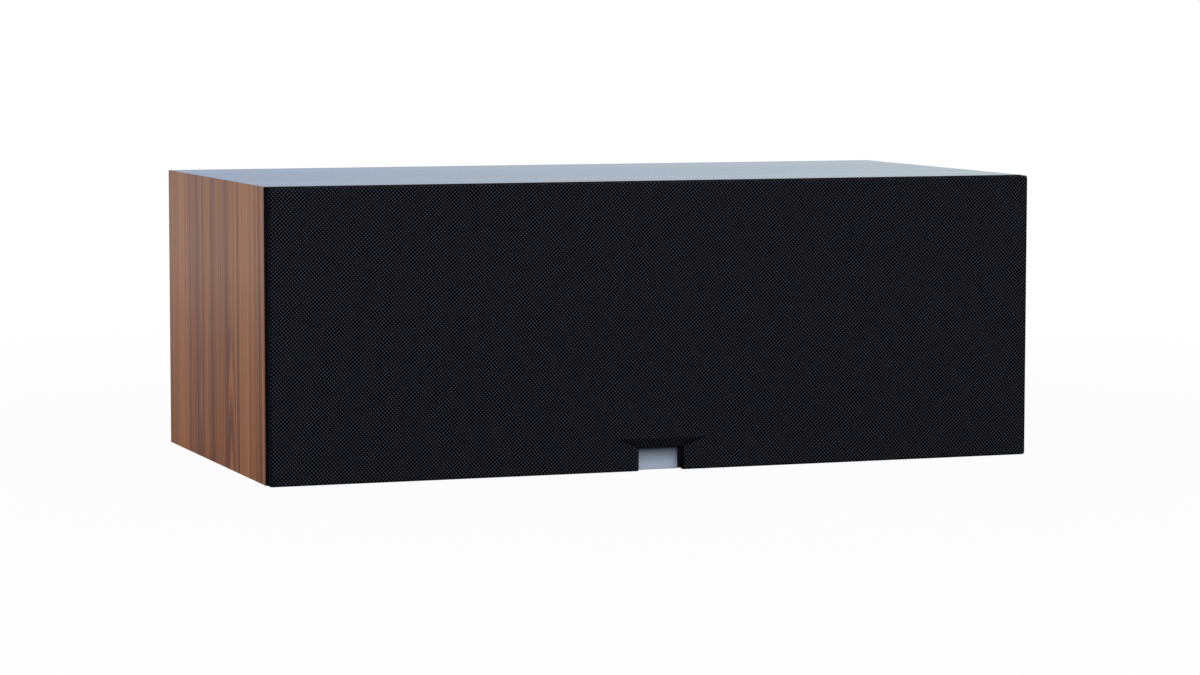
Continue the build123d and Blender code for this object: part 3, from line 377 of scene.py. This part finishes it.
def upThePanel(wire, spec):
    where = place(wire)
    return axis(wire, where, "Z") + spec["panelShift"], axis(wire, where, "X") * spec["panelSqueeze"]


def woodTone(wire, spec, along, across):
    def layer(kind, lane):
        spot = wire.make("CombineXYZ", None, {
            "X": along * kind["along"], "Y": lane * kind["across"], "Z": kind["seed"]})
        return noise(wire, spot, 1.0, kind["detail"], kind["rough"])

    wander = layer(spec["wander"], across)
    lane = across + spec["drift"] * mm * (wander - 0.5)
    streaks, lines, pores = (layer(spec[key], lane) for key in ("streaks", "lines", "pores"))
    thin = (1 - wire.math("ABSOLUTE", 2 * lines - 1)) ** spec["thinness"]  # narrow dark growth lines
    tone = spec["tone"] + spec["streakDepth"] * (streaks - 0.5) + spec["lineDepth"] * (lines - 0.5)
    tone = tone - spec["thinDepth"] * thin
    for centre, half, change in spec["stripes"]:
        off = (lane - centre * mm) / (half * mm)
        tone = tone + change * wire.math("EXPONENT", off * off * -1.0)
    look = spec["flame"]
    for flame in spec["flames"]:  # nested arches where the cut meets the growth rings
        off = (across - flame["across"] * mm) / (flame["width"] * mm)
        rise = (wire.math("ABSOLUTE", along) - flame["start"] * mm) / (look["rise"] * mm)
        rings = (off * off * look["bow"] - rise) * look["rings"]
        arch = wire.math("SINE", rings + look["waver"] * (wander - 0.5))
        reach = wire.math("EXPONENT", off * off * -1.0) * clamp(wire, rise)
        tone = tone + reach * (look["depth"] * arch - look["shade"])
    return tone, streaks, lines, pores


def makeWalnut(name, spec, wrapped):
    material, wire = newMaterial(name)
    along, across = roundTheFold(wire, spec) if wrapped else upThePanel(wire, spec)
    tone, streaks, lines, pores = woodTone(wire, spec, along, across)
    stops = [(spec[key + "At"], spec[key]) for key in ("dark", "mid", "pale")]
    colour = wire.make("ValToRGB", {"stops": stops}, {"Fac": tone})
    pit = clamp(wire, (pores - spec["poreStart"]) * spec["poreGain"])
    poreColour = tuple(spec["poreShade"] * c for c in spec["dark"])
    colour = mixColour(wire, pit * spec["poreShare"], colour, poreColour)
    if wrapped:  # the front edge is blacked where it meets the baffle
        forward = wire.math("LESS_THAN", axis(wire, facing(wire), "Y"), -spec["turned"])
        edgeEnd = sleeveLow.y + spec["frontEdgeDepth"] * mm
        atFront = wire.math("LESS_THAN", axis(wire, place(wire), "Y"), edgeEnd)
        colour = mixColour(wire, forward * atFront, colour, spec["frontEdge"])
    grain = pores * spec["poreBump"] + lines * (1 - spec["poreBump"])
    return surface(material, wire, {
        "Base Color": colour, "IOR": spec["index"],
        "Roughness": around(spec["rough"], spec["roughSwing"], streaks),
        "Normal": bump(wire, grain, spec["bump"], spec["bumpDepth"]),
    })


paint(["cabinet_sleeve"], makeWalnut("walnutWrap", walnut, True))
paint(["rear_panel"], makeWalnut("walnutPanel", {**walnut, "flames": []}, False))
print("walnut done")


# badge: bare brushed aluminium, with painted shade toward its upper edge, where the lip above shades it
badge = {
    "colour": (0.55, 0.64, 0.76), "rough": 0.42, "roughSwing": 0.16,
    "brush": (60, 1, 4200), "brushDetail": 4.0, "brushRough": 0.6, "brushSwing": 0.36,
    "bump": 0.15, "bumpDepth": 0.0001,
    # painted shade: how dark the top edge is, the heights where the darkening starts and ends, and its curve
    "paintedShadeTop": 0.02, "paintedShadeStart": 0.0142, "paintedShadeEnd": 0.0035, "paintedShadeCurve": 0.8,
}


def makeBadge(spec):
    material, wire = newMaterial("badgeAluminium")
    where = place(wire)
    strokes = wire.make("Mapping", {"vector_type": "POINT"}, {"Vector": where, "Scale": spec["brush"]})
    brushed = noise(wire, strokes, 1.0, spec["brushDetail"], spec["brushRough"])
    # painted shade: the colour darkens toward the upper edge, standing in for the lip's shadow
    paintedShade = fade(wire, axis(wire, where, "Z"), spec["paintedShadeEnd"], spec["paintedShadeStart"], 1.0, spec["paintedShadeTop"])
    shade = around(1, spec["brushSwing"], brushed) * paintedShade ** spec["paintedShadeCurve"]
    return surface(material, wire, {
        "Base Color": shaded(wire, spec["colour"], shade), "Metallic": 1.0,
        "Roughness": around(spec["rough"], spec["roughSwing"], brushed),
        "Normal": bump(wire, brushed, spec["bump"], spec["bumpDepth"]),
    })


paint(["badge_plate"], makeBadge(badge))
print("badge done")


# grille cloth: stretched over the frame's face and edges, hemmed behind it
cloth = {
    "pitchFirst": (415.0, 366.0), "pitchSecond": (362.0, -414.0),  # threads a metre, across and up
    "thread": (0.068, 0.076, 0.099), "hole": (0.0002, 0.0002, 0.0003), "knot": 4.0,
    "fuzz": 240.0, "fuzzDetail": 3.0, "fuzzSwing": 0.5, "rough": 0.8, "bump": 0.3, "bumpDepth": 0.0003,
    "sideStart": 0.05, "sideEnd": 0.5, "endsFrom": 0.2,  # where the cloth counts as a side, and as an end
    # painted shade: how much brightness the sides and notch walls keep, and where it fades toward the back
    "edgeShare": 0.52, "notchShare": 0.15, "edgeStart": -0.1318, "edgeEnd": -0.1288, "edgeLast": 0.1,
    "thickness": 0.0006, "corner": 0.0016, "edge": 0.0018, "hem": 0.009, "rounds": 4,
    "notchHalf": 0.016, "notchTop": 0.0154, "scoopHalf": 0.0315, "scoopTop": 0.0216, "scoopDepth": 0.0044,
    "cutsAcross": (-0.8, -0.6, -0.4, -0.2, 0.2, 0.4, 0.6, 0.8),  # share of the half width, clear of the notch
    "cutsUp": (0.035, 0.085, 0.135),
    "frontToBack": 0.005, "folded": 0.3, "pastNotch": 0.1,  # which edges are rounded: m, radians, m
    "slack": 1.01, "sharp": 30,  # degrees
}


def makeClothMaterial(spec):
    material, wire = newMaterial("grilleCloth")
    flatPlace = wire.make("UVMap", {"uv_map": "flat"})
    u, v = axis(wire, flatPlace, "X"), axis(wire, flatPlace, "Y")
    wave = lambda pitch: wire.math("COSINE", (u * pitch[0] + v * pitch[1]) * (2 * math.pi))
    weave = 0.5 + 0.25 * wave(spec["pitchFirst"]) + 0.25 * wave(spec["pitchSecond"])
    fuzz = noise(wire, flatPlace, spec["fuzz"], spec["fuzzDetail"])
    where = place(wire)
    side = wire.math("ABSOLUTE", axis(wire, facing(wire), "X"))
    sideways = fade(wire, side, spec["sideStart"], spec["sideEnd"])
    atEnds = wire.math("GREATER_THAN", wire.math("ABSOLUTE", axis(wire, where, "X")), spec["endsFrom"])
    back = fade(wire, axis(wire, where, "Y"), spec["edgeStart"], spec["edgeEnd"], 1.0, spec["edgeLast"])
    share = spec["notchShare"] + (spec["edgeShare"] * back - spec["notchShare"]) * atEnds
    # painted shade on the sides and the notch walls, darker toward the back where the gap to the baffle
    # shades them
    paintedSideShade = 1 - sideways * (1 - share)
    lit = weave ** spec["knot"] * around(1, spec["fuzzSwing"], fuzz) * paintedSideShade
    return surface(material, wire, {
        "Base Color": mixColour(wire, lit, spec["hole"], spec["thread"]),
        "Roughness": spec["rough"], "Specular IOR Level": 0.0,
        "Normal": bump(wire, weave, spec["bump"], spec["bumpDepth"]),
    })


def notchedFace(mesh, spec, low, high):  # the face with its scoop and notch, and the sides back to the frame
    front, back = low.y, high.y
    half, bottom, top = high.x, low.z, high.z
    notch, notchTop = spec["notchHalf"], spec["notchTop"]
    scoop, scoopTop = spec["scoopHalf"], spec["scoopTop"]
    deep = front + spec["scoopDepth"]
    corner = lambda x, y, z: mesh.verts.new((x, y, z))
    outer = [corner(x, front, z) for x, z in ((half, bottom), (half, top), (-half, top), (-half, bottom))]
    footL, footR = corner(-notch, front, bottom), corner(notch, front, bottom)
    neckL, neckR = corner(-notch, front, notchTop), corner(notch, front, notchTop)
    browL, browR = corner(-scoop, front, scoopTop), corner(scoop, front, scoopTop)
    lipL, lipR = corner(-notch, deep, notchTop), corner(notch, deep, notchTop)
    mesh.faces.new(outer + [footL, neckL, browL, browR, neckR, footR])
    mesh.faces.new([browL, lipL, lipR, browR])
    mesh.faces.new([browL, neckL, lipL])
    mesh.faces.new([browR, lipR, neckR])
    onLip = set(lipL.link_edges) | set(lipR.link_edges)
    rim = [edge for edge in mesh.edges if edge.is_boundary and edge not in onLip]
    pulled = bmesh.ops.extrude_edge_only(mesh, edges=rim)["geom"]
    for vert in (part for part in pulled if isinstance(part, bmesh.types.BMVert)):
        vert.co.y = back

    def behind(vert):  # the point straight behind this one, at the frame's back
        others = (edge.other_vert(vert) for edge in vert.link_edges)
        return next(other for other in others
                    if abs(other.co.y - back) < tiny and (other.co - vert.co).xz.length < tiny)

    neckBackL, neckBackR, footBackL, footBackR = (behind(vert) for vert in (neckL, neckR, footL, footR))
    sideL = next(face for face in neckL.link_faces if footL in face.verts and neckBackL in face.verts)
    sideR = next(face for face in neckR.link_faces if footR in face.verts and neckBackR in face.verts)
    bmesh.ops.delete(mesh, geom=[sideL, sideR], context="FACES_ONLY")
    for neck in (neckL, neckR):
        for loose in [edge for edge in neck.link_edges if not edge.link_faces]:
            mesh.edges.remove(loose)
    mesh.faces.new([footL, footBackL, neckBackL, lipL, neckL])
    mesh.faces.new([footR, neckR, lipR, neckBackR, footBackR])
    mesh.faces.new([lipL, neckBackL, neckBackR, lipR])
    bmesh.ops.recalc_face_normals(mesh, faces=mesh.faces)


def roundCloth(mesh, spec, low, high):
    front, half = low.y, high.x
    rounded = {"offset_type": "OFFSET", "affect": "EDGES", "material": -1,
               "segments": spec["rounds"], "profile": 0.5}
    isDeep = lambda edge: abs(edge.verts[0].co.y - edge.verts[1].co.y) > spec["frontToBack"]
    corners = [edge for edge in mesh.edges if isDeep(edge) and abs(edge.verts[0].co.x) > half - tiny]
    bmesh.ops.bevel(mesh, geom=corners, offset=spec["corner"], **rounded)
    isFront = lambda edge: all(abs(vert.co.y - front) < tiny for vert in edge.verts)
    folded = [edge for edge in mesh.edges if isFront(edge) and edge.calc_face_angle(0) > spec["folded"]]
    outline = [edge for edge in folded if max(abs(vert.co.x) for vert in edge.verts) > spec["pastNotch"]]
    bmesh.ops.bevel(mesh, geom=outline, offset=spec["edge"], **rounded)


def hemCloth(mesh, spec, low, high):  # a strip turned in behind the frame
    bottom, top = low.z, high.z
    near = spec["corner"] * spec["slack"]  # the rounded corners, and a little over
    hemEdges = [edge for edge in mesh.edges if edge.is_boundary]
    hem = bmesh.ops.extrude_edge_only(mesh, edges=hemEdges)["geom"]
    for vert in (part for part in hem if isinstance(part, bmesh.types.BMVert)):
        atEnd = abs(vert.co.x) > high.x - near
        if atEnd:
            vert.co.x -= math.copysign(spec["hem"], vert.co.x)
        if vert.co.z > top - near:
            vert.co.z -= spec["hem"]
        elif vert.co.z < bottom + near:
            vert.co.z += spec["hem"]
        elif not atEnd:
            vert.co.z += spec["hem"] / 2  # above the notch


def cutPanels(mesh, spec, half):  # the face in even panels
    cuts = [((share * half, 0, 0), (1, 0, 0)) for share in spec["cutsAcross"]]
    cuts += [((0, 0, height), (0, 0, 1)) for height in spec["cutsUp"]]
    for point, way in cuts:
        parts = mesh.verts[:] + mesh.edges[:] + mesh.faces[:]
        bmesh.ops.bisect_plane(mesh, geom=parts, plane_co=point, plane_no=way)


def layFlat(mesh, front):  # places on the flat sheet, in metres
    flat = mesh.loops.layers.uv.new("flat")
    for face in mesh.faces:
        normal = face.normal
        for loop in face.loops:
            point = loop.vert.co
            depth = point.y - front
            u = point.x + math.copysign(depth, normal.x) * (abs(normal.x) > 0.7)
            v = point.z + math.copysign(depth, normal.z) * (abs(normal.z) > 0.7)
            loop[flat].uv = (u, v)


def makeCloth(spec):
    low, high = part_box("grille_cloth")
    mesh = bmesh.new()
    notchedFace(mesh, spec, low, high)
    roundCloth(mesh, spec, low, high)
    hemCloth(mesh, spec, low, high)
    cutPanels(mesh, spec, high.x)
    layFlat(mesh, low.y)
    wrap = newPiece("grilleClothWrap", mesh, makeClothMaterial(spec))
    wrap.data.set_sharp_from_angle(angle=math.radians(spec["sharp"]))
    for face in wrap.data.polygons:
        face.use_smooth = face.normal.y > -0.999  # the face stays flat, its rounded edges smooth
    thick = wrap.modifiers.new("clothThickness", "SOLIDIFY")
    thick.thickness, thick.offset = spec["thickness"], -1.0
    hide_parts("grille_cloth")
    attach(wrap, "grille")


makeCloth(cloth)
print("grille cloth done")


# wadding: soft linings in the woofer chambers
wadding = {
    "colour": (0.70, 0.70, 0.67), "rough": 0.95,
    "tufts": {"scale": 60.0, "detail": 5.0},
    "fibres": {"scale": 700.0, "detail": 3.0, "rough": 0.6, "warp": 1.5},
    "tuftShade": 0.3, "fibreShade": 0.2, "tuftBump": 0.6, "bump": 0.8, "bumpDepth": 0.002,
    "merge": 1e-5, "level": 0.02, "edge": 0.005, "rounds": 3,  # m, radians, m
}


def makeWaddingMaterial(spec):
    material, wire = newMaterial("waddingFibre")
    where = place(wire)
    tufts, fibres = (noise(wire, where, **spec[key]) for key in ("tufts", "fibres"))
    shade = around(1, spec["tuftShade"], tufts) + spec["fibreShade"] * (fibres - 0.5)
    height = tufts * spec["tuftBump"] + fibres * (1 - spec["tuftBump"])
    return surface(material, wire, {
        "Base Color": shaded(wire, spec["colour"], shade), "Roughness": spec["rough"],
        "Normal": bump(wire, height, spec["bump"], spec["bumpDepth"]),
    })


def makeWadding(spec):
    pad = bmesh.new()
    pad.from_mesh(nodes["wadding"].data)
    bmesh.ops.remove_doubles(pad, verts=pad.verts, dist=spec["merge"])
    bmesh.ops.dissolve_limit(pad, angle_limit=spec["level"], verts=pad.verts, edges=pad.edges)
    bmesh.ops.bevel(pad, geom=pad.edges[:], offset=spec["edge"], offset_type="OFFSET", affect="EDGES",
                    segments=spec["rounds"], profile=0.5, material=-1)
    bmesh.ops.triangulate(pad, faces=[face for face in pad.faces if len(face.verts) > 4])
    for face in pad.faces:
        face.smooth = True
    pads = newPiece("waddingPads", pad, makeWaddingMaterial(spec))
    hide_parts("wadding")
    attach(pads, "cabinet")


makeWadding(wadding)
print("wadding done")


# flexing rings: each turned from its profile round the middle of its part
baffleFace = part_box("front_baffle")[0].y
rolls = {  # radii and depths behind the baffle's face, in mm
    "woofer": {"lipIn": 44.5, "rollIn": 48.0, "rollOut": 57.5, "lipOut": 62.5,
               "front": 0.6, "back": 1.5, "height": 3.5},
    "tweeter": {"lipIn": 12.75, "rollIn": 13.1, "rollOut": 16.2, "lipOut": 20.6,
                "front": 14.0, "back": 14.6, "height": 1.5},
}
spiders = {"inner": 12.65, "waveStart": 15.05, "waveEnd": 37.5, "outer": 44.5,
           "front": 33.4, "thick": 0.6, "waves": 3, "height": 1.4}


def rollProfile(spec, points=14):
    middle, half = (spec["rollIn"] + spec["rollOut"]) / 2, (spec["rollOut"] - spec["rollIn"]) / 2
    radius = (half ** 2 + spec["height"] ** 2) / (2 * spec["height"])
    reach = math.asin(half / radius)
    angles = [reach * (2 * i / points - 1) for i in range(points + 1)]
    arc = [(middle + radius * math.sin(a), radius - spec["height"] - radius * math.cos(a)) for a in angles]
    front = [(spec["lipIn"], 0.0)] + arc + [(spec["lipOut"], 0.0)]
    return [(r, spec["front"] + d) for r, d in front] + [(r, spec["back"] + d) for r, d in reversed(front)]


def spiderProfile(spec, points=48):
    span = spec["waveEnd"] - spec["waveStart"]
    swell = lambda share: -spec["height"] * math.sin(2 * math.pi * spec["waves"] * share)
    wave = [(spec["waveStart"] + span * i / points, swell(i / points)) for i in range(points + 1)]
    front = [(spec["inner"], 0.0)] + wave + [(spec["outer"], 0.0)]
    back = spec["front"] + spec["thick"]
    return [(r, spec["front"] + d) for r, d in front] + [(r, back + d) for r, d in reversed(front)]


def flexRing(node, profile, still, moving, material, steps=96, sharp=50):
    low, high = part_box(node)
    centre = Vector(((low.x + high.x) / 2, baffleFace, (low.z + high.z) / 2))
    mesh = bmesh.new()
    verts = [mesh.verts.new(centre + Vector((r * mm, d * mm, 0))) for r, d in profile]
    edges = [mesh.edges.new(pair) for pair in zip(verts, verts[1:] + verts[:1])]
    bmesh.ops.spin(mesh, geom=verts + edges, cent=centre, axis=(0, 1, 0), angle=2 * math.pi, steps=steps,
                   use_merge=True)
    bmesh.ops.remove_doubles(mesh, verts=mesh.verts, dist=tiny)
    bmesh.ops.recalc_face_normals(mesh, faces=mesh.faces)
    for face in mesh.faces:
        face.smooth = True
    ring = newPiece(node.title().replace("_", "") + "Flex", mesh, material)
    ring.data.set_sharp_from_angle(angle=math.radians(sharp))
    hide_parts(node)
    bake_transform(ring)


for side in bothSides:
    roll = rolls["woofer"]
    flexRing(f"woofer_{side}_surround", rollProfile(roll), roll["rollOut"], roll["rollIn"],
             made["surroundRubber"])
    flexRing(f"woofer_{side}_spider", spiderProfile(spiders), spiders["waveEnd"],
             spiders["waveStart"], made["spiderCloth"])
roll = rolls["tweeter"]
flexRing("tweeter_surround", rollProfile(roll), roll["rollOut"], roll["rollIn"],
         made["surroundRubber"])
print("flexing rings done")


# small screws: a cross recess sunk in every head
recess = {
    "arm": 1.9, "half": 0.42, "depth": 1.3, "above": 0.5,  # mm
    "taper": 0.55, "sharp": 30,  # share of the size at the bottom, degrees
}


def screwIslands(mesh):
    left = set(mesh.verts)
    while left:
        island, edge = set(), [left.pop()]
        while edge:
            vert = edge.pop()
            island.add(vert)
            for other in (link.other_vert(vert) for link in vert.link_edges):
                if other in left:
                    left.discard(other)
                    edge.append(other)
        yield [vert.co.copy() for vert in island]


def headOf(points):  # the middle of the head's top, the screw's axis and the way it looks
    low = Vector([min(point[i] for point in points) for i in range(3)])
    high = Vector([max(point[i] for point in points) for i in range(3)])
    along = max(range(3), key=lambda i: high[i] - low[i])
    middle = (low + high) / 2
    wide = lambda point: (point - middle).length_squared - (point - middle)[along] ** 2
    top = max(points, key=wide)[along] > middle[along]
    middle[along] = high[along] if top else low[along]
    return middle, along, 1 if top else -1


def crossCutter(heads, spec):
    arm, half, depth, above = (spec[key] * mm for key in ("arm", "half", "depth", "above"))
    outline = [(arm, half), (half, half), (half, arm), (-half, arm), (-half, half), (-arm, half),
               (-arm, -half), (-half, -half), (-half, -arm), (half, -arm), (half, -half), (arm, -half)]
    cutter = bmesh.new()
    unit = lambda n: Vector([i == n % 3 for i in range(3)])
    for middle, along, way in heads:
        u, v, out = unit(along + 1), unit(along + 2), unit(along) * way
        start = middle + out * above
        cross = cutter.faces.new([cutter.verts.new(start + u * a + v * b) for a, b in outline])
        grown = bmesh.ops.extrude_face_region(cutter, geom=[cross])["geom"]
        for vert in (part for part in grown if isinstance(part, bmesh.types.BMVert)):
            vert.co = middle + (vert.co - start) * spec["taper"] - out * depth
    bmesh.ops.recalc_face_normals(cutter, faces=cutter.faces)
    return newPiece("crossCutter", cutter)


def makeScrews(spec):
    screws = bmesh.new()
    screws.from_mesh(nodes["small_screws"].data)
    bmesh.ops.remove_doubles(screws, verts=screws.verts, dist=tiny)
    heads = [headOf(points) for points in screwIslands(screws)]
    rough = newPiece("smallScrewSet", screws)
    cutter = crossCutter(heads, spec)
    sink = rough.modifiers.new("crossRecess", "BOOLEAN")
    sink.operation, sink.solver, sink.object = "DIFFERENCE", "EXACT", cutter
    done = bpy.data.meshes.new_from_object(rough.evaluated_get(bpy.context.evaluated_depsgraph_get()))
    for helper in (cutter, rough):
        bpy.data.objects.remove(helper)
    done.materials.clear()
    done.materials.append(made["blackScrews"])
    done.set_sharp_from_angle(angle=math.radians(spec["sharp"]))
    screwSet = bpy.data.objects.new("crossHeadScrews", done)
    scene.collection.objects.link(screwSet)
    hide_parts("small_screws")
    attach(screwSet, "cabinet")
    print("screws done:", len(heads), "heads,", len(done.polygons), "faces")


makeScrews(recess)


# floor, backdrop and light
studio = {
    "floorSize": 80.0, "floorColour": (0.45, 0.45, 0.45),
    "seen": {"near": 0.96, "start": 0.35, "end": 1.3},  # how white the floor is to the eye, going outwards
    "mirrored": {"near": 0.0, "start": 0.30, "end": 2.3},  # and in reflections
    "coolLeft": (0.37, 0.59, 0.85), "coolRight": (0.67, 0.89, 1.00), "leftToRight": (0.2, 0.46),
    "room": (0.60, 0.62, 0.66), "roomToWall": (0.4, 0.8),
    "ceiling": (0.60, 0.62, 0.66), "wallToCeiling": (0.15, 0.6),
    "horizon": (1, 1, 1), "horizonToWall": (0.008, 0.02),
}
lamps = {
    "keyPanel": {"place": (-3.0, -2.6, 2.4), "aim": (0, 0, 0.1), "size": (2.4, 2.4), "power": 120.0},
    "fillPanel": {"place": (3.0, -3.0, 1.8), "aim": (0, 0, 0.1), "size": (2.4, 2.0), "power": 50.0},
}


def makeFloor(spec):
    mesh = bmesh.new()
    bmesh.ops.create_grid(mesh, x_segments=1, y_segments=1, size=spec["floorSize"] / 2)
    material, wire = newMaterial("floorPaint")
    ray = lambda out: wire.make("LightPath", None, None, out)
    away = wire.make("VectorMath", {"operation": "LENGTH"}, {0: place(wire)}, "Value")
    glow = lambda kind: fade(wire, away, kind["start"], kind["end"], kind["near"], 1.0, "SMOOTHSTEP")
    reflected = wire.math("MINIMUM", ray("Is Glossy Ray") + ray("Is Transmission Ray"), 1.0)
    direct = ray("Is Camera Ray") * glow(spec["seen"])
    share = wire.math("MAXIMUM", direct, reflected * glow(spec["mirrored"]))
    plain = wire.make("BsdfDiffuse", None, {"Color": (*spec["floorColour"], 1)})
    white = wire.make("Emission", None, {"Color": (1, 1, 1, 1), "Strength": 1.0})
    shader = wire.make("MixShader", None, {0: share, 1: plain, 2: white})
    wire.make("OutputMaterial", None, {"Surface": shader})
    floor = newPiece("floor", mesh, material)


def makeWorld(spec):  # white low down, a cool soft wall above it
    world = bpy.data.worlds.new("studioWorld")
    scene.world = world
    world.use_nodes = True
    world.node_tree.nodes.clear()
    sky = Wire(world.node_tree)
    toward = sky.make("TexCoord", None, None, "Generated")
    turn = lambda letter, key: fade(sky, axis(sky, toward, letter), *spec[key])
    cool = mixColour(sky, turn("X", "leftToRight"), spec["coolLeft"], spec["coolRight"])
    behind = mixColour(sky, turn("Y", "roomToWall"), spec["room"], cool)
    above = mixColour(sky, turn("Z", "wallToCeiling"), behind, spec["ceiling"])
    tint = mixColour(sky, turn("Z", "horizonToWall"), spec["horizon"], above)
    light = sky.make("Background", None, {"Color": tint, "Strength": 1.0})
    sky.make("OutputWorld", None, {"Surface": light})


def softLight(name, spec):
    data = bpy.data.lights.new(name, "AREA")
    data.shape, data.energy = "RECTANGLE", spec["power"]
    data.size, data.size_y = spec["size"]
    lamp = bpy.data.objects.new(name, data)
    lamp.location = spec["place"]
    lamp.rotation_euler = (Vector(spec["aim"]) - lamp.location).to_track_quat("-Z", "Y").to_euler()
    scene.collection.objects.link(lamp)


makeFloor(studio)
makeWorld(studio)
for lampName, lampSpec in lamps.items():
    softLight(lampName, lampSpec)
print("stage and light done")
